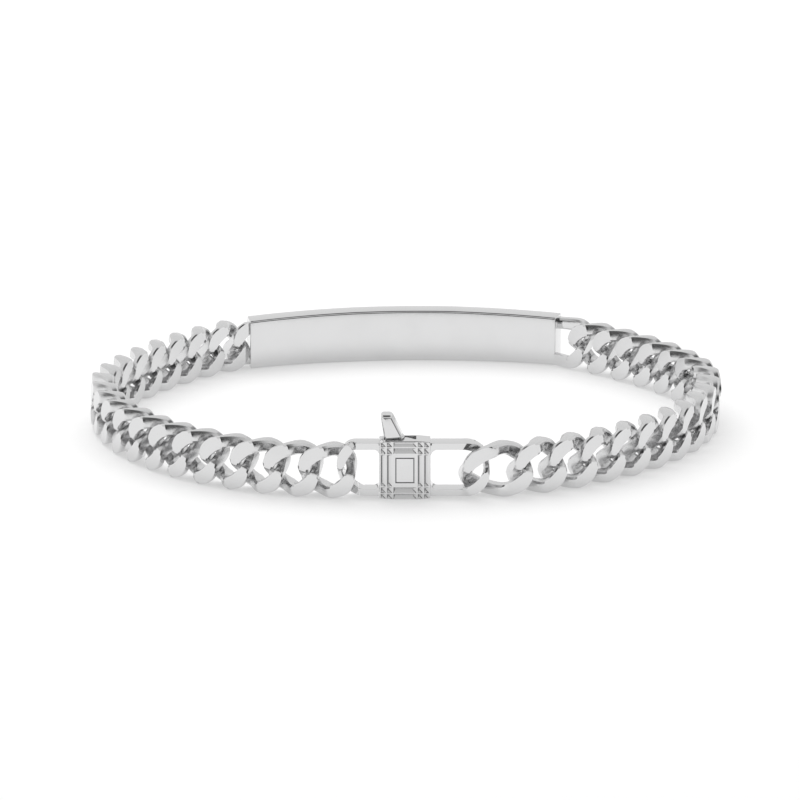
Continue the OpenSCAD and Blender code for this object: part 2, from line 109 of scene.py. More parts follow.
class ChainSettings(bpy.types.PropertyGroup):
    link_length: length("Link length", "Outer length of a link", 5.92)
    link_width: length("Link width", "Outer width of a link", 5.6)
    link_thick: length("Link thickness", "Distance between a link's two ground faces", 2.52)
    link_twist: length("Twist", "How far the strand swings out of the link's plane", 1.08)
    link_hold: share("Hold", "How long a strand holds its swing before it crosses over", 0.5)
    end_wire: length("End wire", "Width of the strand at a link's ends", 1.0)
    side_wire: length("Side wire", "Width of the strand at the middle of a link's sides", 1.32)
    shoulder_wire: length("Shoulder wire", "Width of the strand at a link's shoulders", 1.66)
    wire_depth: length("Wire depth", "Depth of the strand through the link's plane", 1.4)
    side_depth: length("Side depth", "Depth of the strand at the middle of a link's sides", 1.65)
    roundness: share("Roundness", "Power of the strand's oval section, 2 for an ellipse", 2.8, 8.0)
    around: IntProperty(name="Rings", description="Rings of points round a link", default=72, min=16)


class PlateSettings(bpy.types.PropertyGroup):
    plate_length: length("Length", "Length of the plate along its curve", 35.9)
    plate_height: length("Height", "Height of the plate at its middle", 5.86)
    plate_taper: length("Taper", "How much lower the plate is at its ends", 0.3)
    taper_start: share("Taper start", "Share of the half length that keeps its full height", 0.3)
    plate_thick: length("Thickness", "Thickness of the plate", 2.5)
    plate_radius: length("Bow radius", "Radius of the plate's bow at its middle line", 48.0)
    plate_back: length("Distance back", "Distance of the plate's middle behind the loop's", 27.3)
    plate_shift: length("Sideways place", "Sideways place of the plate's middle", -0.35)
    edge_round: length("Edge radius", "Radius that rounds the long edges", 0.25)
    end_round: length("End edge radius", "Radius that rounds the edges of the two ends", 0.1)
    plate_turn: angle("Turn", "How far the plate is turned about the loop's axis", 2.4)
    left_slant: angle("Left slant", "Slant of the left end from front to back", 10.0)
    right_slant: angle("Right slant", "Slant of the right end from front to back", 17.0)
    left_bail_past: length("Left bail past", "Left bail's middle, past the plate's end", -0.3)
    left_bail_out: length("Left bail outward", "Left bail's middle, outward from the plate's", 0.4)
    right_bail_past: length("Right bail past", "Right bail's middle, past the plate's end", 1.5)
    right_bail_out: length("Right bail outward", "Right bail's middle, outward from the plate's", -0.5)
    bail_angle: angle("Bail angle", "Angle round a link at which a bail leaves its shape", 65.0)
    bail_seat: length("Bail seat", "Depth to which a bail's arms run into the plate", 0.6)
    bail_sink: length("Bail sink", "How far a bail's arms stay behind the plate's faces", 0.02)
    bail_lead: share("Bail lead", "How far an arm follows its link, as a share of its length", 0.45)


class ClaspSettings(bpy.types.PropertyGroup):
    clasp_front: length("Distance forward", "Distance of the clasp's plane in front of the middle", 27.3)
    clasp_shift: length("Sideways place", "Sideways place of the block's middle", -0.13)
    block_width: length("Block width", "Width of the block", 5.27)
    block_height: length("Block height", "Height of the block", 6.28)
    block_thick: length("Block thickness", "Thickness of the block", 2.4)
    block_crown: length("Crown", "How much the top and bottom fall away at the corners", 0.12)
    block_round: length("Block edge radius", "Radius that rounds the block's edges", 0.09)
    ring_left: length("Ring left", "Reach of the ring to the left of the block's middle", 7.03)
    ring_right: length("Ring right", "Reach of the ring to the right of the block's middle", 8.78)
    ring_height: length("Ring height", "Outer height of the ring", 5.7)
    bend_upper: length("Upper left bend", "Length of the upper half of the curved left end", 1.9)
    bend_lower: length("Lower left bend", "Length of the lower half of the curved left end", 2.9)
    bend_right: length("Right bend", "Length of the ring's curved right end", 3.4)
    arm_wire: length("Arm height", "Height of the ring's straight arms", 0.72)
    arm_depth: length("Arm depth", "Depth of the ring's straight arms", 1.85)
    ring_end_wire: length("Ring end wire", "Width of the strand at the ring's ends", 0.7)
    ring_shoulder_wire: length("Ring shoulder wire", "Width of the strand at the shoulders", 1.1)
    ring_twist: length("Ring twist", "How far the ring's strand swings out of its plane", 1.64)
    ring_power: share("Ring roundness", "Power of the section at the ring's ends", 2.6, 8.0)
    arm_power: share("Arm squareness", "Power of the section of the ring's straight arms", 20.0, 40.0)
    flare_share: share("Flare share", "Share of an arm's rows that its bend at the block takes", 0.4)
    knob_diameter: length("Knob", "Diameter of the small knob at the upper left corner", 0.42)
    knob_length: length("Knob length", "Length of the knob back from the front", 0.9)
    knob_round: share("Knob rounding", "Rounding of the knob's end, as a share of its radius", 0.4)
    corner_left: length("Left corner radius", "Radius of the corners at the block's left side", 0.6)
    corner_right: length("Right corner radius", "Radius of the corners at its right side", 0.8)
    ridge_outer_u: length("Outer ridge, sideways", "Outer upright ridges from the middle", 2.56)
    ridge_middle_u: length("Middle ridge, sideways", "Middle upright ridges from the middle", 1.92)
    ridge_inner_u: length("Inner ridge, sideways", "Inner upright ridges from the middle", 1.26)
    ridge_outer_w: length("Outer ridge, up", "Outer level ridges from the middle", 3.1)
    ridge_middle_w: length("Middle ridge, up", "Middle level ridges from the middle", 2.47)
    ridge_inner_w: length("Inner ridge, up", "Inner level ridges from the middle", 1.76)
    groove_depth: length("Groove depth", "Depth of the grooves between the ridges", 0.2)
    steep_share: share("Steep share", "Share of a groove that its steep side takes", 0.32)
    # Painted shade: how far the steep and gentle sides of the grooves darken towards the shaded silver
    # colour
    upright_painted_shade: share("Dark uprights", "Shading of the steep sides of upright grooves", 1.0)
    level_painted_shade: share("Dark levels", "Shading of the steep sides of level grooves", 0.0)
    gentle_painted_shade: share("Dark slopes", "Shading of the gentle sides of all grooves", 0.15)
    ridge_flat: length("Ridge flat", "Half of the width of a ridge's flat top", 0.05)
    panel_width: length("Panel width", "Width of the plain panel in the middle", 1.74)
    panel_height: length("Panel height", "Height of the plain panel in the middle", 2.5)
    panel_line: length("Panel line", "Width of the line round the plain panel", 0.12)
    line_share: share("Line depth", "Depth of that line, as a share of the grooves'", 0.5)


class LeverSettings(bpy.types.PropertyGroup):
    tab_rise: length("Rise", "How far the tab stands above the block", 2.69)
    tab_left: length("Left side", "The tab's left side from the block's middle", 2.1)
    tab_base: length("Base width", "Width of the tab where it leaves the block", 2.1)
    tab_top: length("Top width", "Width of the tab at its top", 1.15)
    tab_lean: length("Lean", "How far the tab leans to the left at its top", 0.4)
    tab_bevel: length("Bevel", "Width of the tab's bevelled edges", 0.26)
    tab_round_left: length("Left corner", "Radius of the tab's upper left corner", 0.28)
    tab_round_right: length("Right corner", "Radius of the tab's upper right corner", 0.45)
    tab_setback: length("Tab set back", "How far the tab stays behind the block's front", 0.1)
    tab_clear: length("Tab clearance", "Gap between the tab's foot and the block's top", 0.04)
    stem_foot: length("Stem foot", "Height of the stem's foot above the block's middle", 0.4)
    stem_inset: length("Stem inset", "How far the stem's back stays inside the tab's", 0.02)
    lever_thick: length("Thickness", "Thickness of the lever in its slot", 1.15)
    lever_setback: length("Set back", "How far the stem stays behind the block's front", 0.85)
    travel: angle("Travel", "Angle that the lever turns to open the gate", 14.0)
    shield_thick: length("Shield", "Thickness of the shield that closes the slot's open end", 0.45)
    shield_drop: length("Shield drop", "How far the shield stays below the block's top", 0.05)
    shield_round: length("Shield edge radius", "Radius that rounds the shield's edges", 0.05)
    pivot_left: length("Pivot left", "Pivot to the left of the block's middle", 0.1)
    pivot_drop: length("Pivot drop", "Pivot below the block's middle", 1.4)
    pin_diameter: length("Pin diameter", "Diameter of the pivot pin", 0.8)
    pin_rise: length("Pin rise", "How far the pin's head stands out of the block's back", 0.05)
    pin_seat: length("Pin seat", "Depth to which the pin's head sits in the block", 0.3)
    gate_reach: length("Gate reach", "Distance from the pivot to the gate's free end", 4.75)
    gate_gap: length("Gate gap", "Gap between the gate and the ring's nose", 0.06)
    tongue_height: length("Tongue height", "Height of the tongue that carries the gate", 0.45)
    tongue_out: length("Tongue outward", "How far the tongue reaches out of the block", 0.4)
    tongue_in: length("Tongue inward", "How far the tongue reaches into the block", 0.55)
    tongue_round: length("Tongue edge radius", "Radius that rounds the tongue's edges", 0.06)
    tongue_room: length("Tongue room", "Height of the block's side opening over the tongue", 1.0)
    side_depth: length("Side opening", "How far the side opening reaches past the slot's left end", 0.3)
    slot_play: length("Slot play", "Clearance on each side of the lever in its slot", 0.08)
    slot_depth: length("Slot depth", "Depth of the slot and of the shield's pocket", 2.94)
    pocket_reach: length("Pocket reach", "How far the shield's pocket runs on under the lip", 1.12)
    pocket_top: length("Pocket top", "Depth of the pocket's far end below the block's top", 0.55)
    lip_edge: length("Lip edge", "Thickness of the lip at the slot's right end", 0.14)
    lip_lean: length("Lip lean", "How far the lip's lower edge lies back", 0.02)


class SilverSettings(bpy.types.PropertyGroup):
    silver: colour("Silver", "Colour of polished silver", (0.71, 0.71, 0.713))
    # Shaded silver is the painted shade of the block's grooves; the polish's faint random patches lean
    # towards it too
    shade: colour("Shaded silver", "Colour that silver takes in grooves", (0.16, 0.16, 0.164))
    polish: share("Polish", "Roughness of the ground and polished faces", 0.1)
    polish_change: share("Polish change", "Change of the polish from place to place", 0.03)
    satin: share("Satin", "Roughness of the rounded faces, which are only tumbled", 0.26)
    satin_change: share("Satin change", "Change of the satin from place to place", 0.05)
    scratches: share("Scratches", "Strength of the fine polishing lines", 0.06)


class StageSettings(bpy.types.PropertyGroup):
    floor_colour: colour("Floor", "Colour of the floor", (0.6, 0.6, 0.6))
    floor_mottle: share("Floor mottle", "Brightness of the floor's darker patches", 0.985)
    # Painted glow: the floor gives off light of its own, which lightens the shadows cast on it
    floor_glow: share("Floor glow", "Light that the floor, a light table, gives off itself", 0.41, 5.0)
    floor_size: length("Floor size", "Width of the floor", 6000)
    room_light: share("Room light", "Brightness of the white room", 0.85, 5.0)
    room_dark: share("Dark side", "How dark the room is behind the camera", 0.94)
    ceiling_dark: share("Dark ceiling", "How much darker the room is overhead", 0.88)
    key_power: FloatProperty(
        name="Key light", description="Power of the large light overhead, in watts", default=3.3,
    )
    key_size: length("Key size", "Diameter of the large light overhead", 800)
    key_place: FloatVectorProperty(
        name="Key place", description="Place of the large light, which faces the bracelet", size=3,
        default=(-0.12, 0.28, 0.6), unit="LENGTH", subtype="XYZ",
    )
    camera_distance: length("Camera distance", "From the camera to the point it aims at", 543.5)
    camera_height: angle("Camera elevation", "Angle of the camera above the horizon", 15.7)
    camera_lens: FloatProperty(name="Lens", description="Focal length in millimetres", default=225.0)
    camera_aim: FloatVectorProperty(
        name="Aim", description="Point that the camera looks at", size=3, precision=6,
        default=(-0.000635, -0.000241, 0.002757), unit="LENGTH", subtype="XYZ",
    )


# Meshes


def grid_faces(rows, columns, loop_rows=False, loop_columns=False):
    """Quads that join each point of a grid to its neighbours, for a grid that may close on itself."""
    i, j = np.meshgrid(
        np.arange(rows if loop_rows else rows - 1),
        np.arange(columns if loop_columns else columns - 1),
        indexing="ij",
    )
    below, beside = (i + 1) % rows, (j + 1) % columns
    corners = [i * columns + j, i * columns + beside, below * columns + beside, below * columns + j]
    return np.stack(corners, -1).reshape(-1, 4)


def make_piece(name, parts, body, node, material, crease=24.0, marks=None):
    """Makes one object that stands for a CAD node, from parts that are each their points and
    blocks of faces. Points that coincide are joined, faces are turned outwards, and edges
    sharper than the crease angle, in degrees, stay crisp. Marks are values at the points that
    the material reads."""
    points, faces, first = [], [], 0
    for part_points, blocks in parts:
        flat = part_points.reshape(-1, 3)
        points.append(flat)
        for block in blocks:
            faces += (block + first).tolist()
        first += len(flat)
    mesh = bpy.data.meshes.new(name)
    mesh.from_pydata(np.concatenate(points), [], faces)
    for key, values in (marks or {}).items():
        attribute = mesh.attributes.new(key, "FLOAT", "POINT")
        attribute.data.foreach_set("value", np.asarray(values, np.float32).reshape(-1))
    shell = bmesh.new()
    shell.from_mesh(mesh)
    bmesh.ops.remove_doubles(shell, verts=shell.verts, dist=JOIN_DISTANCE)
    bmesh.ops.dissolve_degenerate(shell, edges=shell.edges, dist=SHORTEST_EDGE)
    bmesh.ops.recalc_face_normals(shell, faces=shell.faces)
    shell.to_mesh(mesh)
    shell.free()
    mesh.shade_smooth()
    mesh.set_sharp_from_angle(angle=math.radians(crease))
    mesh.materials.append(material)
    piece = bpy.data.objects.new(name, mesh)
    bpy.context.scene.collection.objects.link(piece)
    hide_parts(node)
    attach(piece, body)


def rod(points):
    """A rod as a part of a piece: rows of points, the faces round it, and one at each end."""
    rows, columns = points.shape[:2]
    first = np.arange(columns)
    ends = np.stack([first, rows * columns - 1 - first])
    return points, [grid_faces(rows, columns, False, True), ends]


def corners_of(node):
    """Each corner of a CAD node's mesh, once, in the shared frame."""
    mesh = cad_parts[node].data
    flat = np.empty(len(mesh.vertices) * 3, np.float32)
    mesh.vertices.foreach_get("co", flat)
    return np.unique(flat.reshape(-1, 3), axis=0).astype(float)


def stand(points, place, height, heading):
    """Stands a piece's own frame on its edge: its X along the heading, its Y up, and its Z level
    and at a right angle to the heading."""
    x, y, z = np.moveaxis(points, -1, 0)
    cos, sin = math.cos(heading), math.sin(heading)
    return np.stack([place[0] + x * cos + z * sin, place[1] + x * sin - z * cos, height + y], -1)


def strand_half(t, end, side, shoulder):
    """Half of a strand's width at angle t round a link: the end's width where sin t is 0, the
    side's where cos t is 0, and the shoulder's half way, where the square of sin 2t is 1."""
    corner = np.sin(2 * t) ** 2
    return (end + (shoulder - end) * corner + (side - end) * np.sin(t) ** 2 * (1 - corner)) / 2


def strand_depth(chain, t):
    """Depth of a link's strand at angle t: it grows towards the middle of the sides with the
    sixth power of sin t."""
    return chain.wire_depth + (chain.side_depth - chain.wire_depth) * np.sin(t) ** 6


def section_columns(flat_steps, side_steps):
    """Places round a section, from 0 to 4: 0 to 1 and 2 to 3 cross its two faces, and 1 to 2 and
    3 to 4 pass over its two sides."""
    return np.concatenate([
        k + np.arange(steps) / steps
        for k, steps in enumerate([flat_steps, side_steps, flat_steps, side_steps])
    ])


def strand_surface(centre, slope, half, depth, power, limit, columns):
    """Points of a strand whose centre and direction are given for each row. A section is the
    superellipse |x/half|^power + |y/(depth/2)|^power = 1, at a right angle to the strand, and
    the ground faces cut it off at plus and minus the limit. The columns are spaced so that one
    runs along each edge of the ground faces. Returns the points, and 1 where one is ground."""
    level = np.hypot(slope[..., 0], slope[..., 1])
    out = np.stack([slope[..., 1], -slope[..., 0], 0 * level], -1) / level[..., None]
    along = slope / np.linalg.norm(slope, axis=-1, keepdims=True)
    up = np.cross(along, out)
    reach = up[..., 2] * depth / 2
    top, low = [
        np.arcsin(np.clip((limit + sign * centre[..., 2]) / reach, 0, CUT_LIMIT) ** (power / 2))
        for sign in (-1, 1)
    ]
    turns = [top, math.pi - top, math.pi + low, 2 * math.pi - low, 2 * math.pi + top]
    k = np.floor(columns).astype(int) + np.zeros(top.shape, int)
    part = columns - np.floor(columns)
    phi = np.choose(k, turns[:4]) * (1 - part) + np.choose(k, turns[1:]) * part
    x, y = [np.sign(v) * np.abs(v) ** (2 / power) for v in (np.cos(phi), np.sin(phi))]
    points = centre + out * (half * x)[..., None] + up * (depth / 2 * y)[..., None]
    ground = np.abs(points[..., 2]) >= limit * GROUND_SHARE
    points[..., 2] = np.clip(points[..., 2], -limit, limit)
    return points, ground


# Finishes


def polish_group():
    """Node group for hand-polished silver. Slow noise moves the gloss a little from place to
    place and gives a faint shading mask, and fine stretched noise makes polishing lines."""
    name = "Hand polish"
    patch_detail, line_detail = 3.0, 2.0
    line_stretch, line_tilt, line_turn = 0.12, math.radians(20), math.radians(35)
    line_height = 0.02 * MM
    shade_start, shade_end, most_shade = 0.45, 0.8, 0.05
    if name in bpy.data.node_groups:
        return bpy.data.node_groups[name]
    group = bpy.data.node_groups.new(name, "ShaderNodeTree")
    sockets = [
        ("Gloss", 0.1), ("Gloss change", 0.03), ("Line strength", 0.05), ("Patch scale", 260.0),
        ("Line scale", 5200.0),
    ]
    for label, value in sockets:
        socket = group.interface.new_socket(label, in_out="INPUT", socket_type="NodeSocketFloat")
        socket.default_value = value
    group.interface.new_socket("Roughness", in_out="OUTPUT", socket_type="NodeSocketFloat")
    group.interface.new_socket("Shade", in_out="OUTPUT", socket_type="NodeSocketFloat")
    group.interface.new_socket("Normal", in_out="OUTPUT", socket_type="NodeSocketVector")
    nodes, links = group.nodes, group.links
    start, end = nodes.new("NodeGroupInput"), nodes.new("NodeGroupOutput")
    place = nodes.new("ShaderNodeTexCoord")
    patches = nodes.new("ShaderNodeTexNoise")
    patches.inputs["Detail"].default_value = patch_detail
    links.new(place.outputs["Object"], patches.inputs["Vector"])
    links.new(start.outputs["Patch scale"], patches.inputs["Scale"])
    change = nodes.new("ShaderNodeMath")
    change.operation = "MULTIPLY_ADD"
    centred = nodes.new("ShaderNodeMath")
    centred.operation = "SUBTRACT"
    centred.inputs[1].default_value = 0.5
    links.new(patches.outputs["Fac"], centred.inputs[0])
    links.new(centred.outputs[0], change.inputs[0])
    links.new(start.outputs["Gloss change"], change.inputs[1])
    links.new(start.outputs["Gloss"], change.inputs[2])
    links.new(change.outputs[0], end.inputs["Roughness"])
    stretch = nodes.new("ShaderNodeMapping")
    stretch.inputs["Scale"].default_value = (1.0, 1.0, line_stretch)
    stretch.inputs["Rotation"].default_value = (line_tilt, 0.0, line_turn)
    links.new(place.outputs["Object"], stretch.inputs["Vector"])
    lines = nodes.new("ShaderNodeTexNoise")
    lines.inputs["Detail"].default_value = line_detail
    links.new(stretch.outputs[0], lines.inputs["Vector"])
    links.new(start.outputs["Line scale"], lines.inputs["Scale"])
    bump = nodes.new("ShaderNodeBump")
    bump.inputs["Distance"].default_value = line_height
    links.new(start.outputs["Line strength"], bump.inputs["Strength"])
    links.new(lines.outputs["Fac"], bump.inputs["Height"])
    links.new(bump.outputs["Normal"], end.inputs["Normal"])
    shade = nodes.new("ShaderNodeMapRange")
    shade.inputs["From Min"].default_value = shade_start
    shade.inputs["From Max"].default_value = shade_end
    shade.inputs["To Max"].default_value = most_shade
    links.new(patches.outputs["Fac"], shade.inputs["Value"])
    links.new(shade.outputs["Result"], end.inputs["Shade"])
    return group


def silver_material(name, look, gloss, change, painted_shade_attribute=None, ground_mark=None):
    """Polished silver. The gloss and the polishing lines come from the hand-polish group. Where
    the piece marks its points, grooves take the shaded colour as painted shade and ground faces the full
    polish."""
    if name in bpy.data.materials:
        return bpy.data.materials[name]
    material = bpy.data.materials.new(name)
    material.use_nodes = True
    nodes, links = material.node_tree.nodes, material.node_tree.links
    shader = nodes["Principled BSDF"]
    shader.inputs["Metallic"].default_value = 1.0
    polish = nodes.new("ShaderNodeGroup")
    polish.node_tree = polish_group()
    polish.inputs["Gloss"].default_value = gloss
    polish.inputs["Gloss change"].default_value = change
    polish.inputs["Line strength"].default_value = look.scratches
    tone = nodes.new("ShaderNodeMix")
    tone.data_type = "RGBA"
    tone.inputs["A"].default_value = (*look.silver, 1.0)
    tone.inputs["B"].default_value = (*look.shade, 1.0)
    mask = polish.outputs["Shade"]
    # Painted shade: the marked grooves darken towards the shaded colour
    if painted_shade_attribute:
        deep = nodes.new("ShaderNodeAttribute")
        deep.attribute_name = painted_shade_attribute
        most = nodes.new("ShaderNodeMath")
        most.operation = "MAXIMUM"
        links.new(deep.outputs["Fac"], most.inputs[0])
        links.new(mask, most.inputs[1])
        mask = most.outputs[0]
    links.new(mask, tone.inputs["Factor"])
    links.new(tone.outputs["Result"], shader.inputs["Base Color"])
    rough = polish.outputs["Roughness"]
    if ground_mark:
        ground = nodes.new("ShaderNodeAttribute")
        ground.attribute_name = ground_mark
        finish = nodes.new("ShaderNodeMath")
        finish.operation = "MULTIPLY_ADD"
        links.new(ground.outputs["Fac"], finish.inputs[0])
        finish.inputs[1].default_value = look.polish - gloss
        links.new(rough, finish.inputs[2])
        rough = finish.outputs[0]
    links.new(rough, shader.inputs["Roughness"])
    links.new(polish.outputs["Normal"], shader.inputs["Normal"])
    return material


def bright_silver(name, look, painted_shade_attribute=None):
    """Polished silver for the plate and the clasp, which have no tumbled faces."""
    return silver_material(name, look, look.polish, look.polish_change, painted_shade_attribute=painted_shade_attribute)


# Pieces


def link_line(chain, t, extra=0.0):
    """Centre and direction of a link's strand at angle t: an oval of (length, width) in the
    link's plane, which it leaves by minus the twist times (1 + hold) s - hold s^3, where s is
    sin 2t."""
    a = (chain.link_length - chain.end_wire + extra) / 2
    b = (chain.link_width - chain.side_wire) / 2
    hold, s = chain.link_hold, np.sin(2 * t)
    swing = -chain.link_twist * s * (1 + hold - hold * s**2)
    swing_slope = -2 * chain.link_twist * np.cos(2 * t) * (1 + hold - 3 * hold * s**2)
    centre = np.stack([a * np.cos(t), b * np.sin(t), swing], -1)
    slope = np.stack([-a * np.sin(t), b * np.cos(t), swing_slope], -1)
    return centre, slope


def link_surface(chain, extra):
    """A whole link, longer than the others by an extra: its strand's section carried once round
    its centre line. Returns the points, and 1 where one is ground."""
    columns = section_columns(*LINK_SECTION)
    t = np.linspace(0, 2 * math.pi, chain.around, endpoint=False)[:, None] + 0 * columns
    centre, slope = link_line(chain, t, extra)
    half = strand_half(t, chain.end_wire, chain.side_wire, chain.shoulder_wire)
    return strand_surface(
        centre, slope, half, strand_depth(chain, t), chain.roundness, chain.link_thick / 2, columns,
    )


def link_place(node):
    """Middle, heading and length of a CAD link. A link looks the same when it is turned half way
    about any of its axes, so its middle is the mean of its corners, and it is longest along its
    heading and thinnest across it."""
    corners = corners_of(node)
    middle = corners.mean(0)
    level = corners[:, :2] - middle[:2]
    along = np.linalg.eigh(level.T @ level)[1][:, 1]
    return middle, math.atan2(along[1], along[0]), np.ptp(level @ along)


class BRACELET_OT_chain(bpy.types.Operator):
    """Makes each curb link of the two runs of chain where its CAD solid lies"""

    bl_idname = "bracelet.chain"
    bl_label = "Curb chain"

    def execute(self, context):
        chain, look = context.scene.bracelet_chain, context.scene.bracelet_silver
        material = silver_material(
            "Chain silver", look, look.satin, look.satin_change, ground_mark="ground",
        )
        nodes = sorted(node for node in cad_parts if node.startswith("link_"))
        places = [link_place(node) for node in nodes]
        standard = min(reach for _, _, reach in places)
        for node, (middle, heading, reach) in zip(nodes, places):
            points, ground = link_surface(chain, reach - standard)
            rows, columns = points.shape[:2]
            points = stand(points, middle[:2], middle[2], heading)
            make_piece(
                node.replace("link", "curb"), [(points, [grid_faces(rows, columns, True, True)])],
                "bracelet", node, material, marks={"ground": ground},
            )
        return {"FINISHED"}


def on_plate(plate, turn, out):
    """Place at an angle to the left of the plate's middle and a distance outward from its line."""
    lead = np.array([-math.sin(plate.plate_turn), math.cos(plate.plate_turn)])
    centre = np.array([plate.plate_shift, plate.plate_back]) - plate.plate_radius * lead
    bearing = math.pi / 2 + plate.plate_turn + turn
    radius = plate.plate_radius + out
    return centre[0] + radius * np.cos(bearing), centre[1] + radius * np.sin(bearing)


def rounded_rectangle(half_x, half_y, radius, steps):
    """Outline of a rectangle with corners rounded by arcs of the given number of steps."""
    quarter = np.linspace(0, math.pi / 2, steps + 1)
    turns = np.concatenate([quarter + k * math.pi / 2 for k in range(4)])
    sign_x = np.repeat([1, -1, -1, 1], steps + 1)
    sign_y = np.repeat([1, 1, -1, -1], steps + 1)
    return (
        sign_x * (half_x - radius) + radius * np.cos(turns),
        sign_y * (half_y - radius) + radius * np.sin(turns),
    )


def plate_end_turn(plate, out, slant, side):
    """Angle from the plate's middle at which its slanting end cut crosses a distance out from
    its line. The cut passes through the end of the line, so the law of sines gives the rest."""
    end = plate.plate_length / plate.plate_radius / 2
    lean = end + side * plate.plate_turn - slant
    return end - lean + np.arcsin(plate.plate_radius * math.sin(lean) / (plate.plate_radius + out))


def plate_surface(plate):
    """The plate: a rounded rectangle carried along an arc between two slanting cuts. Its height
    falls off in a straight line towards both ends. At each end a few more rows draw the outline
    in by a quarter circle, which rounds the end's edges."""
    corner_steps, rim_rows, rows = 5, 5, 79
    bend = np.linspace(0, math.pi / 2, rim_rows)
    inset = plate.end_round * (1 - np.sin(bend))
    draw = plate.end_round * (1 - np.cos(bend))
    level, ends = np.zeros(rows), np.ones(rim_rows)
    insets = np.concatenate([inset, level, inset[::-1]])[:, None]
    draws = np.concatenate([draw, level, draw[::-1]])[:, None]
    parts = np.concatenate([ends, np.linspace(1, -1, rows + 2)[1:-1], -ends])[:, None]
    out, up = rounded_rectangle(
        plate.plate_thick / 2 - insets, plate.plate_height / 2 - insets, plate.edge_round, corner_steps,
    )
    left = plate_end_turn(plate, out, plate.left_slant, 1)
    right = plate_end_turn(plate, out, plate.right_slant, -1)
    turn = (1 + parts) / 2 * left - (1 - parts) / 2 * right
    turn = turn - np.sign(parts) * draws / plate.plate_radius
    x, y = on_plate(plate, turn, out)
    span = np.abs(turn) * plate.plate_radius / (plate.plate_length / 2)
    fall = plate.plate_taper / 2 * np.clip((span - plate.taper_start) / (1 - plate.taper_start), 0, 1)
    z = plate.plate_height / 2 + up * (1 - fall / (plate.plate_height / 2))
    return np.stack([x, y, z], -1)


def bail_arm(chain, plate, seat, strand, slope, half):
    """One arm of a bail, from a point of the link's strand to its seat in the plate. It is a
    cubic curve that leaves along the strand's slope and arrives along the straight line between
    the two. Its rows start after the strand's own. Returns its points, slopes and half widths."""
    rows = 11
    s = np.linspace(0, 1, rows + 1)[1:, None]
    chord = seat - strand
    lead = slope / np.linalg.norm(slope) * np.linalg.norm(chord) * plate.bail_lead
    curve = (
        (2 * s**3 - 3 * s**2 + 1) * strand + (s**3 - 2 * s**2 + s) * lead
        + (3 * s**2 - 2 * s**3) * seat + (s**3 - s**2) * chord
    )
    speed = (
        (6 * s**2 - 6 * s) * strand + (3 * s**2 - 4 * s + 1) * lead
        + (6 * s - 6 * s**2) * seat + (3 * s**2 - 2 * s) * chord
    )
    return curve, speed, half + (chain.side_wire / 2 - half) * s[:, 0]


def bail_surface(chain, plate, side):
    """A bail: the end of a link, with two arms that run into the plate's end, where they meet
    its two faces."""
    end = plate.plate_length / plate.plate_radius / 2
    past, out = (
        (plate.left_bail_past, plate.left_bail_out) if side < 0
        else (plate.right_bail_past, plate.right_bail_out)
    )
    middle = np.array(on_plate(plate, -side * (end + past / plate.plate_radius), out))
    link = link_place("link_left_01" if side < 0 else "link_right_01")[0]
    ahead = link[:2] - middle
    heading = math.atan2(ahead[1], ahead[0]) + (math.pi if side > 0 else 0)
    seat = np.array(on_plate(plate, -side * (end - plate.bail_seat / plate.plate_radius), 0.0)) - middle
    across = seat @ [math.cos(heading), math.sin(heading)]
    deep = seat @ [math.sin(heading), -math.cos(heading)]
    rise = (plate.plate_thick - chain.wire_depth) / 2 - plate.bail_sink
    level = side * (chain.link_width - chain.side_wire) / 2 * math.sin(plate.bail_angle)
    start, rows = (0.0 if side < 0 else math.pi), 33
    t = start + np.linspace(-plate.bail_angle, plate.bail_angle, rows)
    centre, slope = link_line(chain, t)
    half = strand_half(t, chain.end_wire, chain.side_wire, chain.shoulder_wire)
    near, far = np.array([across, level, deep + rise]), np.array([across, -level, deep - rise])
    before = bail_arm(chain, plate, near, centre[0], -slope[0], half[0])
    after = bail_arm(chain, plate, far, centre[-1], slope[-1], half[-1])
    line = np.concatenate([before[0][::-1], centre, after[0]])
    lead = np.concatenate([-before[1][::-1], slope, after[1]])
    wide = np.concatenate([before[2][::-1], half, after[2]])
    columns = section_columns(*LINK_SECTION)
    spread = np.zeros((1, len(columns), 1))
    points, _ = strand_surface(
        line[:, None] + spread, lead[:, None] + spread, wide[:, None] + 0 * columns,
        chain.wire_depth, chain.roundness, chain.link_thick / 2, columns,
    )
    return stand(points, middle, link[2], heading)


class BRACELET_OT_plate(bpy.types.Operator):
    """Makes the bowed name plate and the two bails that are soldered to its ends"""

    bl_idname = "bracelet.plate"
    bl_label = "Name plate"

    def execute(self, context):
        scene = context.scene
        chain, plate = scene.bracelet_chain, scene.bracelet_plate
        material = bright_silver("Plate silver", scene.bracelet_silver)
        shapes = {
            "name_plate": plate_surface(plate),
            "bail_left": bail_surface(chain, plate, -1),
            "bail_right": bail_surface(chain, plate, 1),
        }
        for name, points in shapes.items():
            make_piece(name, [rod(points)], "bracelet", "id_plate", material)
        return {"FINISHED"}


def at_clasp(clasp, points):
    """From the clasp's own frame, seen from its front (right, up, out of the front), to the
    shared frame."""
    return stand(points, (clasp.clasp_shift, -clasp.clasp_front), clasp.block_height / 2, 0.0)


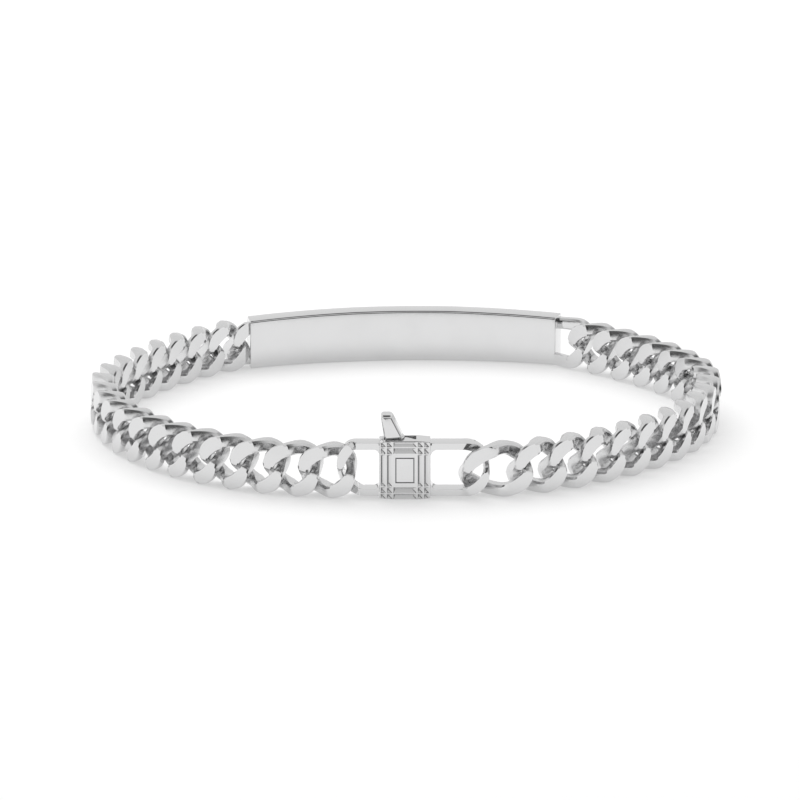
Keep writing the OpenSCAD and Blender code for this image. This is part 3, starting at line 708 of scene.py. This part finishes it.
def ring_line(clasp, chain, side, q):
    """Centre, direction, half width, depth and power of the ring's strand on one side of the
    block. From q = 0 to 1 it runs out along an arm, from 1 to 3 round the ring's end, and from
    3 to 4 back along the other arm. On the left it starts at the upper arm, on the right at the
    lower one. Near the block an arm grows inward by a quarter circle. Round the end, at angle t,
    the strand swings out of the ring's plane by minus the twist times sin 2t |cos t|, and high
    powers of sin t keep the arms' depth and square section close to the arms."""
    reach, corner = (
        (clasp.ring_left, clasp.corner_left) if side < 0 else (clasp.ring_right, clasp.corner_right)
    )
    first = q < RING_MIDDLE
    curve = clasp.bend_right if side > 0 else np.where(first, clasp.bend_upper, clasp.bend_lower)
    bend = curve - clasp.ring_end_wire / 2
    middle = reach - curve
    level = (clasp.ring_height - clasp.arm_wire) / 2
    block = clasp.block_width / 2
    t = np.clip(q - 1, 0, 2) * math.pi / 2 - math.pi / 2
    cos, sin = np.cos(t), np.sin(t)
    swing = -clasp.ring_twist * np.sin(2 * t) * np.abs(cos)
    swing_slope = -clasp.ring_twist * (2 * np.cos(2 * t) * np.abs(cos) - np.sin(2 * t) * sin)
    arm = np.clip(np.minimum(q, 4 - q), 0, 1)
    on_arm = arm < 1
    bow = np.clip(arm / clasp.flare_share, 0, 1) * math.pi / 2
    straight = np.clip((arm - clasp.flare_share) / (1 - clasp.flare_share), 0, 1)
    past = corner * (1 - np.cos(bow)) + straight * (middle - block - corner)
    flare = np.where(on_arm, corner * (1 - np.sin(bow)) / 2, 0)
    inward = np.where(first, 1.0, -1.0)
    u = np.where(on_arm, block + past, middle + bend * cos)
    w = np.where(on_arm, -inward * level, level * sin) + inward * flare
    du = np.where(on_arm, inward * bend, -bend * sin)
    dw = np.where(on_arm, 0.0, level * cos)
    dn = np.where(on_arm, 0.0, swing_slope)
    half = strand_half(t, clasp.ring_end_wire, clasp.arm_wire, clasp.ring_shoulder_wire)
    half = np.where(on_arm, clasp.arm_wire / 2, half) + flare
    depth_fade, power_fade = 40, 12
    depth_share = np.where(on_arm, 1.0, np.abs(sin) ** depth_fade)
    power_share = np.where(on_arm, 1.0, np.abs(sin) ** power_fade)
    depth = chain.wire_depth + (clasp.arm_depth - chain.wire_depth) * depth_share
    power = clasp.ring_power + (clasp.arm_power - clasp.ring_power) * power_share
    mirror = [-1, -1, 1] if side < 0 else [1, 1, 1]
    centre = np.stack([u, w, np.where(on_arm, 0.0, swing)], -1) * mirror
    slope = np.stack([du, dw, dn], -1) * mirror
    return centre, slope, half, depth, power


def ring_surface(clasp, chain, side, start, end, rows, columns):
    """Points of the ring's strand between two stations, each one value or one per column."""
    part = np.linspace(0, 1, rows)[:, None]
    q = (1 - part) * start + part * end + 0 * columns
    centre, slope, half, depth, power = ring_line(clasp, chain, side, q)
    points, _ = strand_surface(centre, slope, half, depth, power, chain.link_thick / 2, columns)
    return points


def gate_cut(clasp, chain, lever, radius, columns):
    """Station of each column of the left side's strand at which it crosses a circle about the
    pivot. It is found by halving the interval from the ring's middle to the gate's root."""
    halvings = 40
    low, high = np.full(columns.shape, RING_MIDDLE), np.full(columns.shape, GATE_ROOT)
    for _ in range(halvings):
        trial = (low + high) / 2
        point = ring_surface(clasp, chain, -1, trial, trial, 1, columns)[0]
        away = np.hypot(point[:, 0] + lever.pivot_left, point[:, 1] + lever.pivot_drop) > radius
        low, high = np.where(away, trial, low), np.where(away, high, trial)
    return (low + high) / 2


def ridge_lines(clasp):
    """Places of the ridges across and up the block's front, in rising order."""
    across = np.array([clasp.ridge_inner_u, clasp.ridge_middle_u, clasp.ridge_outer_u])
    up = np.array([clasp.ridge_inner_w, clasp.ridge_middle_w, clasp.ridge_outer_w])
    return [np.concatenate([-half[::-1], half]) for half in (across, up)]


def groove_share(clasp, ridges, place, low_part):
    """How deep the two sides of a groove let it be at a place, as shares of its full depth. Each
    side sinks evenly away from its ridge: the lower one over the given part of a cell's width,
    and the upper one over the rest."""
    cell = clasp.ridge_outer_u - clasp.ridge_middle_u
    k = np.clip(np.searchsorted(ridges, place), 1, len(ridges) - 1)
    low = (place - ridges[k - 1] - clasp.ridge_flat) / (low_part * cell)
    high = (ridges[k] - place - clasp.ridge_flat) / ((1 - low_part) * cell)
    return low, high


def ridge_depth(clasp, u, w):
    """Depth of the pattern on the block's front, and a mark from 0 to 1 for its painted shade,
    which darkens the silver. A groove is as deep as the shallower of its two sides. The steep
    side is the left one of an upright groove and the upper one of a level groove, and where the
    two cross the shallower groove counts. The field in the middle is level, with a fine line round its
    plain panel."""
    ridges_u, ridges_w = ridge_lines(clasp)
    left, right = groove_share(clasp, ridges_u, u, clasp.steep_share)
    lower, upper = groove_share(clasp, ridges_w, w, 1 - clasp.steep_share)
    across, up = np.minimum(left, right), np.minimum(lower, upper)
    part = np.clip(np.minimum(across, up), 0, 1)
    steep = np.where(across < up, left <= right, upper <= lower) & (part > 0)
    field = (np.abs(u) < clasp.ridge_inner_u) & (np.abs(w) < clasp.ridge_inner_w)
    rim = (np.abs(u) > clasp.ridge_outer_u) | (np.abs(w) > clasp.ridge_outer_w)
    out_u = np.abs(u) - clasp.panel_width / 2
    out_w = np.abs(w) - clasp.panel_height / 2
    line = field & (np.abs(np.maximum(out_u, out_w) - clasp.panel_line / 2) < clasp.panel_line / 2)
    part = np.where(line, clasp.line_share, np.where(field | rim, 0, part))
    # Painted shade: steep sides darken by their setting, gentle sides faintly by depth, and the panel's
    # line fully
    dark = np.where(across < up, clasp.upright_painted_shade, clasp.level_painted_shade) * np.clip(2 * part, 0, 1)
    painted_shade_mark = np.where(line, 1.0, np.where(steep & ~field & ~rim, dark, clasp.gentle_painted_shade * part))
    return part * clasp.groove_depth, painted_shade_mark


def spaced_lines(half, radius, stops, step):
    """Grid lines from -half to half: close together over the rounded edges, at each of the stops
    and just beside it, and otherwise about one step apart."""
    edge_lines = 4
    rim = half - radius + radius * np.tan(np.linspace(0, math.pi / 4, edge_lines))
    marks = np.concatenate([-rim, rim, stops, stops - HAIR / 2, stops + HAIR / 2])
    marks = np.unique(np.round(marks[np.abs(marks) <= half], 8))
    lines = [
        np.linspace(low, high, max(1, math.ceil((high - low) / step)), endpoint=False)
        for low, high in zip(marks[:-1], marks[1:])
    ]
    return np.append(np.concatenate(lines), marks[-1])


def slot_reach(clasp, lever):
    """Right end of the lever's slot at the block's top: where the tab's right side stands once
    the lever has turned, with its clearance."""
    x = lever.tab_base - lever.tab_left + lever.pivot_left
    y = clasp.block_height / 2 + lever.pivot_drop
    return x * math.cos(lever.travel) + y * math.sin(lever.travel) - lever.pivot_left + lever.slot_play


def slot_walls(clasp, lever):
    """Depths of the back and front walls of the lever's slots, the left and right ends of the
    slot in the block's top, and the floor and ceiling of the one in its left side."""
    front = clasp.block_thick / 2 - lever.lever_setback + lever.slot_play
    back = front - lever.lever_thick - 2 * lever.slot_play
    level = clasp.ring_height / 2 - clasp.arm_wire
    return {
        "depth": (back, front),
        "top": (-lever.tab_left - lever.slot_play, slot_reach(clasp, lever)),
        "side": (-level - lever.tongue_height - lever.slot_play, -level + lever.tongue_room),
    }


def block_lines(clasp, walls, lip):
    """Grid lines across, up and through the block, with a stop at each edge of its pattern and
    at each wall of its slots."""
    face_step, depth_step = 0.06 * MM, 0.3 * MM
    ridges_u, ridges_w = ridge_lines(clasp)
    cell = clasp.ridge_outer_u - clasp.ridge_middle_u
    flat = clasp.ridge_flat
    steep, gentle = flat + clasp.steep_share * cell, flat + (1 - clasp.steep_share) * cell
    line_edges = np.array([0, clasp.panel_line])
    panel_u, panel_w = clasp.panel_width / 2 + line_edges, clasp.panel_height / 2 + line_edges
    u_lines = [ridges_u - flat, ridges_u + flat, ridges_u + steep, ridges_u - gentle]
    w_lines = [ridges_w - flat, ridges_w + flat, ridges_w + gentle, ridges_w - steep]
    u_stops = np.concatenate([*u_lines, -panel_u, panel_u, lip, walls["top"]])
    w_stops = np.concatenate([*w_lines, -panel_w, panel_w, walls["side"]])
    n_stops = np.array([*walls["depth"], clasp.block_thick / 2 - clasp.groove_depth])
    return [
        spaced_lines(clasp.block_width / 2, clasp.block_round, u_stops, face_step),
        spaced_lines(clasp.block_height / 2, clasp.block_round, w_stops, face_step),
        spaced_lines(clasp.block_thick / 2, clasp.block_round, n_stops, depth_step),
    ]


def cut_top(points, half, lever, walls, lip):
    """Sinks the top's points in the slot to its floor. At its right end the slot widens under a
    lip into the pocket of the lever's shield: the three lines of the lip become the pocket's
    floor and ceiling at its far end, and the lip's lower edge."""
    depths = [lever.slot_depth, lever.pocket_top, lever.lip_edge]
    reaches = [lever.pocket_reach, lever.pocket_reach, lever.lip_lean]
    u, n = points[..., 0], points[..., 2]
    inside = (n > walls["depth"][0]) & (n < walls["depth"][1])
    inside &= (u > walls["top"][0]) & (u < walls["top"][1])
    deep, reach = np.interp(u, lip, depths), np.interp(u, lip, reaches)
    points[..., 0] = u + np.where(inside & (u > lip[0] - HAIR / 2), reach, 0)
    points[..., 1] = np.where(inside, half - deep, points[..., 1])


def cut_side(points, lever, walls):
    """Sinks the left side's points in the tongue's slot to its floor."""
    w, n = points[..., 1], points[..., 2]
    inside = (n > walls["depth"][0]) & (n < walls["depth"][1])
    inside &= (w > walls["side"][0]) & (w < walls["side"][1])
    points[..., 0] = np.where(inside, walls["top"][0] + lever.side_depth, points[..., 0])


def block_surface(clasp, lever):
    """The block's six sides as grids on a box, pulled in to rounded edges: each point moves to
    its nearest point on the inner box, and from there by the radius towards where it was. The
    front is cut by the pattern, the top by the lever's slot and the left side by the tongue's.
    The top and bottom fall away towards the corners."""
    half = np.array([clasp.block_width, clasp.block_height, clasp.block_thick]) / 2
    radius = clasp.block_round
    walls = slot_walls(clasp, lever)
    lip = walls["top"][1] + HAIR * np.array([-3, -2, -1])
    lines = block_lines(clasp, walls, lip)
    parts, marks = [], []
    for axis, sign in itertools.product(range(3), (-1, 1)):
        first, second = [k for k in range(3) if k != axis]
        a, b = np.meshgrid(lines[first], lines[second], indexing="ij")
        box = np.empty((*a.shape, 3))
        box[..., first], box[..., second], box[..., axis] = a, b, sign * half[axis]
        inner = np.clip(box, radius - half, half - radius)
        way = box - inner
        points = inner + radius * way / np.linalg.norm(way, axis=-1, keepdims=True)
        if axis == 1 and sign > 0:
            cut_top(points, half[1], lever, walls, lip)
        if axis == 0 and sign < 0:
            cut_side(points, lever, walls)
        edge = np.clip(np.abs(points[..., 0]) / (half[0] / 2) - 1, 0, 1)
        points[..., 1] *= 1 - clasp.block_crown * edge / half[1]
        cut, painted_shade_mark = ridge_depth(clasp, points[..., 0], points[..., 1])
        points[..., 2] = np.minimum(points[..., 2], half[2] - cut)
        parts.append((at_clasp(clasp, points), [grid_faces(*a.shape)]))
        # Only the front keeps its painted shade
        marks.append((painted_shade_mark * (axis == 2 and sign > 0)).ravel())
    return parts, np.concatenate(marks)


def turned_rod(radii, depths, steps):
    """A turned rod about the third axis: a circle of each radius at its depth."""
    turn = np.linspace(0, 2 * math.pi, steps, endpoint=False)
    return np.stack([
        np.outer(radii, np.cos(turn)), np.outer(radii, np.sin(turn)), np.outer(depths, np.ones(steps)),
    ], -1)


def knob_surface(clasp):
    """The small knob at the block's upper left corner: a rod whose front edge is rounded by a
    quarter circle."""
    radius = clasp.knob_diameter / 2
    edge = radius * clasp.knob_round
    bend = np.linspace(0, math.pi / 2, 6)[:-1]
    radii = np.append(radius, radius - edge * (1 - np.cos(bend)))
    depths = np.append(-clasp.knob_length, -edge * (1 - np.sin(bend)))
    place = [
        radius - clasp.block_width / 2, clasp.block_height / 2 - clasp.block_crown + radius / 2,
        clasp.block_thick / 2,
    ]
    return at_clasp(clasp, turned_rod(radii, depths, 32) + place)


def pin_surface(clasp, lever):
    """The pin's head, a low dome on the block's back: its radius falls off with the cosine of
    an angle while it rises with the sine."""
    dome = np.linspace(0, math.pi / 2, 9)[:-1]
    radii = lever.pin_diameter / 2 * np.append(1, np.cos(dome))
    depths = np.append(lever.pin_seat, -lever.pin_rise * np.sin(dome))
    place = [-lever.pivot_left, -lever.pivot_drop, -clasp.block_thick / 2]
    return at_clasp(clasp, turned_rod(radii, depths, 40) + place)


class BRACELET_OT_clasp(bpy.types.Operator):
    """Makes the clasp's block with its check pattern, the ring it carries and the pivot pin"""

    bl_idname = "bracelet.clasp"
    bl_label = "Clasp"

    def execute(self, context):
        scene = context.scene
        chain, clasp, lever = scene.bracelet_chain, scene.bracelet_clasp, scene.bracelet_lever
        material = bright_silver("Clasp silver", scene.bracelet_silver)
        # The block's grooves carry painted shade in their colour
        grooved_with_painted_shade = bright_silver("Grooved silver with painted shade", scene.bracelet_silver, painted_shade_attribute="painted_groove_shade")
        parts, painted_groove_shade = block_surface(clasp, lever)
        make_piece(
            "clasp_block", parts, "bracelet", "clasp_body", grooved_with_painted_shade,
            crease=18.0, marks={"painted_groove_shade": painted_groove_shade},
        )
        columns = section_columns(*RING_SECTION)
        nose = gate_cut(clasp, chain, lever, lever.gate_reach + lever.gate_gap, columns)
        right = ring_surface(clasp, chain, 1, 0.0, 4.0, 140, columns)
        left = ring_surface(clasp, chain, -1, 0.0, nose, 110, columns)
        shapes = {
            "clasp_ring_right": (at_clasp(clasp, right), "clasp_body"),
            "clasp_ring_left": (at_clasp(clasp, left), "clasp_body"),
            "clasp_knob": (knob_surface(clasp), "clasp_body"),
            "pin_head": (pin_surface(clasp, lever), "pivot_pin"),
        }
        for name, (points, node) in shapes.items():
            make_piece(name, [rod(points)], "bracelet", node, material)
        return {"FINISHED"}


def rounded_outlines(corners, radii, insets, steps):
    """Outlines of a convex shape, each moved inward by an inset, with each corner rounded by its
    radius less the inset. Corners run anticlockwise. An arc's centre lies back from its corner
    by the radius times the tangent of half the turn, and inward by the radius."""
    here = np.array(corners)
    came = here - np.roll(here, 1, axis=0)
    came /= np.linalg.norm(came, axis=-1, keepdims=True)
    goes = np.roll(came, -1, axis=0)
    turn = np.arctan2(came[:, 0] * goes[:, 1] - came[:, 1] * goes[:, 0], (came * goes).sum(-1))
    radius = np.maximum(radii, insets[:, None])
    inward = np.stack([-came[:, 1], came[:, 0]], -1)
    centre = here - came * (radius * np.tan(turn / 2))[..., None] + inward * radius[..., None]
    bearing = np.arctan2(-came[:, 0], came[:, 1])[:, None] + turn[:, None] * np.linspace(0, 1, steps + 1)
    size = (radius - insets[:, None])[..., None, None]
    arcs = centre[:, :, None] + size * np.stack([np.cos(bearing), np.sin(bearing)], -1)
    return arcs.reshape(len(insets), -1, 2)


def bevelled_slab(corners, radii, bevel, front, back):
    """A flat slab between two depths: its outline drawn back in four steps to a bevelled edge
    at the front and at the back."""
    corner_steps = 6
    insets = bevel * np.array([0.98, 0.9, 0.08, 0])
    draws = bevel * np.array([0, 0.03, 0.7, 0.85])
    outlines = rounded_outlines(corners, radii, np.append(insets, insets[::-1]), corner_steps)
    depths = np.append(front - draws, back + draws[::-1])
    depths = np.broadcast_to(depths[:, None, None], (*outlines.shape[:2], 1))
    return np.concatenate([outlines, depths], -1)


def tab_surfaces(clasp, lever):
    """The lever's tab: the slab that is pushed, which reaches forward over the block, and under
    it the stem that stands in the block's slot. The slab's foot clears the block's top. At its
    right end it clears it by what it dips when the lever turns as well."""
    block_top = clasp.block_height / 2
    top = block_top + lever.tab_rise
    left, lean = -lever.tab_left, -lever.tab_left - lever.tab_lean
    right = lever.tab_base - lever.tab_left
    lift = lever.tab_clear + (right + lever.pivot_left) * math.tan(lever.travel)
    lift += (block_top + lever.pivot_drop) * (1 / math.cos(lever.travel) - 1)
    slope = (lean + lever.tab_top - right) / lever.tab_rise
    bevel, stem_bevel = lever.tab_bevel, lever.tab_bevel / 4
    slab = [
        (left, block_top + lever.tab_clear), (right + slope * lift, block_top + lift),
        (lean + lever.tab_top, top), (lean, top),
    ]
    slab_radii = [bevel, bevel, lever.tab_round_right, lever.tab_round_left]
    stem_top = block_top + 2 * bevel
    stem = [
        (left, lever.stem_foot), (right, lever.stem_foot), (right, block_top),
        (right - 1.5 * bevel, stem_top), (left + bevel, stem_top), (left, block_top),
    ]
    stem_front = clasp.block_thick / 2 - lever.lever_setback
    back = stem_front - lever.lever_thick
    return [
        at_clasp(clasp, bevelled_slab(
            slab, slab_radii, bevel, clasp.block_thick / 2 - lever.tab_setback, back,
        )),
        at_clasp(clasp, bevelled_slab(
            stem, [stem_bevel] * len(stem), stem_bevel, stem_front, back + lever.stem_inset,
        )),
    ]


def shield_surface(clasp, lever):
    """The lever's shield: a rounded rectangle carried on an arc about the pivot, from inside
    the tab's stem to just short of the slot's right end."""
    corner_steps, rows = 3, 16
    outer = clasp.block_height / 2 + lever.pivot_drop - lever.shield_drop
    middle = clasp.block_thick / 2 - lever.lever_setback - lever.lever_thick / 2
    across, up = rounded_rectangle(
        lever.lever_thick / 2, lever.shield_thick / 2, lever.shield_round, corner_steps,
    )
    last = math.acos((slot_reach(clasp, lever) - lever.slot_play / 2 + lever.pivot_left) / outer)
    bearing = np.linspace(math.pi / 2, last, rows)[:, None]
    radius = outer - lever.shield_thick / 2 + up
    return at_clasp(clasp, np.stack([
        radius * np.cos(bearing) - lever.pivot_left,
        radius * np.sin(bearing) - lever.pivot_drop,
        middle + across + 0 * bearing,
    ], -1))


def tongue_surface(clasp, lever):
    """The tongue that carries the gate: a short bar with rounded edges through the block's left
    side, under the ring's arm."""
    corner_steps = 3
    level = clasp.ring_height / 2 - clasp.arm_wire
    middle = clasp.block_thick / 2 - lever.lever_setback - lever.lever_thick / 2
    out, up = rounded_rectangle(
        lever.lever_thick / 2, lever.tongue_height / 2, lever.tongue_round, corner_steps,
    )
    u = np.array([[-lever.tongue_out], [lever.tongue_in]]) - clasp.block_width / 2
    return at_clasp(clasp, np.stack([
        u + 0 * out, up - level - lever.tongue_height / 2 + 0 * u, middle + out + 0 * u,
    ], -1))


class BRACELET_OT_lever(bpy.types.Operator):
    """Makes the lever: its tab above the block, the shield behind it, and the gate in the ring
    with its tongue"""

    bl_idname = "bracelet.lever"
    bl_label = "Lever and gate"

    def execute(self, context):
        scene = context.scene
        chain, clasp, lever = scene.bracelet_chain, scene.bracelet_clasp, scene.bracelet_lever
        material = bright_silver("Clasp silver", scene.bracelet_silver)
        columns = section_columns(*RING_SECTION)
        tip = gate_cut(clasp, chain, lever, lever.gate_reach, columns)
        gate = at_clasp(clasp, ring_surface(clasp, chain, -1, tip, GATE_ROOT, 60, columns))
        shapes = {
            "lever_tab": tab_surfaces(clasp, lever),
            "lever_shield": [shield_surface(clasp, lever)],
            "lever_gate": [gate, tongue_surface(clasp, lever)],
        }
        for name, surfaces in shapes.items():
            parts = [rod(points) for points in surfaces]
            make_piece(name, parts, "lever", "clasp_lever", material)
        return {"FINISHED"}


# Stage


def room_light(stage):
    """A white room that is dark behind the camera, up to a little above its height, and dark
    straight overhead. Smooth steps between heights, or between distances forward, give both."""
    world = bpy.data.worlds.new("Studio")
    bpy.context.scene.world = world
    world.use_nodes = True
    nodes, links = world.node_tree.nodes, world.node_tree.links
    place = nodes.new("ShaderNodeTexCoord")
    split = nodes.new("ShaderNodeSeparateXYZ")
    links.new(place.outputs["Generated"], split.inputs[0])

    def ramp(source, limits, first, last):
        step = nodes.new("ShaderNodeMapRange")
        step.interpolation_type = "SMOOTHSTEP"
        for label, value in zip(("From Min", "From Max", "To Min", "To Max"), (*limits, first, last)):
            step.inputs[label].default_value = value
        links.new(source, step.inputs["Value"])
        return step.outputs["Result"]

    def combine(operation, first, second):
        step = nodes.new("ShaderNodeMath")
        step.operation = operation
        for socket, value in zip(step.inputs, (first, second)):
            if isinstance(value, float):
                socket.default_value = value
            else:
                links.new(value, socket)
        return step.outputs[0]

    low_down = ramp(split.outputs["Z"], DARK_HEIGHT, 1.0, 0.0)
    forward = ramp(split.outputs["Y"], DARK_FORWARD, 1.0, 0.0)
    overhead = ramp(split.outputs["Z"], CEILING_HEIGHT, 1.0, 1.0 - stage.ceiling_dark)
    dark = combine("MULTIPLY", low_down, forward)
    light = combine("SUBTRACT", 1.0, combine("MULTIPLY", dark, stage.room_dark))
    light = combine("MULTIPLY", light, overhead)
    room = nodes["Background"]
    room.inputs["Color"].default_value = (1.0, 1.0, 1.0, 1.0)
    links.new(combine("MULTIPLY", light, stage.room_light), room.inputs["Strength"])


def floor_material(stage):
    """The pale floor: matt, with a faint mottle in its colour, and a painted glow of its own that
    lightens the shadows on it.
    """
    dull, gloss, patch_scale = 0.9, 0.2, 30.0
    material = bpy.data.materials.new("Glowing floor")
    material.use_nodes = True
    nodes, links = material.node_tree.nodes, material.node_tree.links
    shader = nodes["Principled BSDF"]
    shader.inputs["Roughness"].default_value = dull
    shader.inputs["Specular IOR Level"].default_value = gloss
    # Painted glow that lightens the floor's shadows
    shader.inputs["Emission Color"].default_value = (1.0, 1.0, 1.0, 1.0)
    shader.inputs["Emission Strength"].default_value = stage.floor_glow
    place = nodes.new("ShaderNodeTexCoord")
    mottle = nodes.new("ShaderNodeTexNoise")
    mottle.inputs["Scale"].default_value = patch_scale
    links.new(place.outputs["Object"], mottle.inputs["Vector"])
    tone = nodes.new("ShaderNodeMix")
    tone.data_type = "RGBA"
    tone.inputs["A"].default_value = (*stage.floor_colour, 1.0)
    tone.inputs["B"].default_value = (*[part * stage.floor_mottle for part in stage.floor_colour], 1.0)
    links.new(mottle.outputs["Fac"], tone.inputs["Factor"])
    links.new(tone.outputs["Result"], shader.inputs["Base Color"])
    return material


def make_floor(stage):
    """The floor: one large level face."""
    half = stage.floor_size / 2
    mesh = bpy.data.meshes.new("floor")
    corners = [(-half, -half, 0), (half, -half, 0), (half, half, 0), (-half, half, 0)]
    mesh.from_pydata(corners, [], [(0, 1, 2, 3)])
    mesh.materials.append(floor_material(stage))
    floor = bpy.data.objects.new("floor", mesh)
    bpy.context.scene.collection.objects.link(floor)


def make_key_light(stage):
    """The large light overhead, turned to face the bracelet. It lights the floor, and the
    silver's reflections show the room instead of it."""
    light = bpy.data.lights.new("Overhead light", "AREA")
    light.shape = "DISK"
    light.size, light.energy = stage.key_size, stage.key_power
    x, y, z = stage.key_place
    lamp = bpy.data.objects.new("Overhead light", light)
    lamp.location = stage.key_place
    lamp.rotation_euler = (-math.atan2(y, z), math.atan2(x, math.hypot(y, z)), 0.0)
    lamp.visible_glossy = False
    bpy.context.scene.collection.objects.link(lamp)


def make_camera(stage):
    """The camera, at a distance from its aim in front of the bracelet and above the floor."""
    view = bpy.data.cameras.new("Camera")
    view.sensor_width, view.lens = 36.0, stage.camera_lens
    view.clip_start, view.clip_end = 0.01, 50.0
    camera = bpy.data.objects.new("Camera", view)
    tilt = stage.camera_height
    aim = np.array(stage.camera_aim)
    camera.location = aim + stage.camera_distance * np.array([0, -math.cos(tilt), math.sin(tilt)])
    camera.rotation_euler = (math.pi / 2 - tilt, 0.0, 0.0)
    bpy.context.scene.collection.objects.link(camera)
    bpy.context.scene.camera = camera


class BRACELET_OT_stage(bpy.types.Operator):
    """Makes the pale floor, the soft studio light and the camera"""

    bl_idname = "bracelet.stage"
    bl_label = "Stage"

    def execute(self, context):
        stage = context.scene.bracelet_stage
        make_floor(stage)
        room_light(stage)
        make_key_light(stage)
        make_camera(stage)
        context.scene.view_settings.view_transform = "Standard"
        return {"FINISHED"}


# Add-on

SETTINGS = {
    "bracelet_chain": ChainSettings,
    "bracelet_plate": PlateSettings,
    "bracelet_clasp": ClaspSettings,
    "bracelet_lever": LeverSettings,
    "bracelet_silver": SilverSettings,
    "bracelet_stage": StageSettings,
}
OPERATORS = [
    BRACELET_OT_chain, BRACELET_OT_plate, BRACELET_OT_clasp, BRACELET_OT_lever, BRACELET_OT_stage,
]


class BRACELET_PT_panel(bpy.types.Panel):
    """Lists the bracelet's pieces and their settings"""

    bl_label = "Identity bracelet"
    bl_space_type = "VIEW_3D"
    bl_region_type = "UI"
    bl_category = "Bracelet"

    def draw(self, context):
        for operator in OPERATORS:
            self.layout.operator(operator.bl_idname)
        for name, group in SETTINGS.items():
            box = self.layout.box()
            for key in group.__annotations__:
                box.prop(getattr(context.scene, name), key)


def register():
    """Adds the classes, and the settings to the scene."""
    for item in [*SETTINGS.values(), *OPERATORS, BRACELET_PT_panel]:
        bpy.utils.register_class(item)
    for name, group in SETTINGS.items():
        setattr(bpy.types.Scene, name, PointerProperty(type=group))


def unregister():
    """Takes the settings and the classes away again."""
    for name in SETTINGS:
        delattr(bpy.types.Scene, name)
    for item in reversed([*SETTINGS.values(), *OPERATORS, BRACELET_PT_panel]):
        bpy.utils.unregister_class(item)


def main():
    """Makes the stage and the bracelet."""
    register()
    bpy.ops.bracelet.stage()
    bpy.ops.bracelet.chain()
    bpy.ops.bracelet.plate()
    bpy.ops.bracelet.clasp()
    bpy.ops.bracelet.lever()


if __name__ == "__main__":
    main()
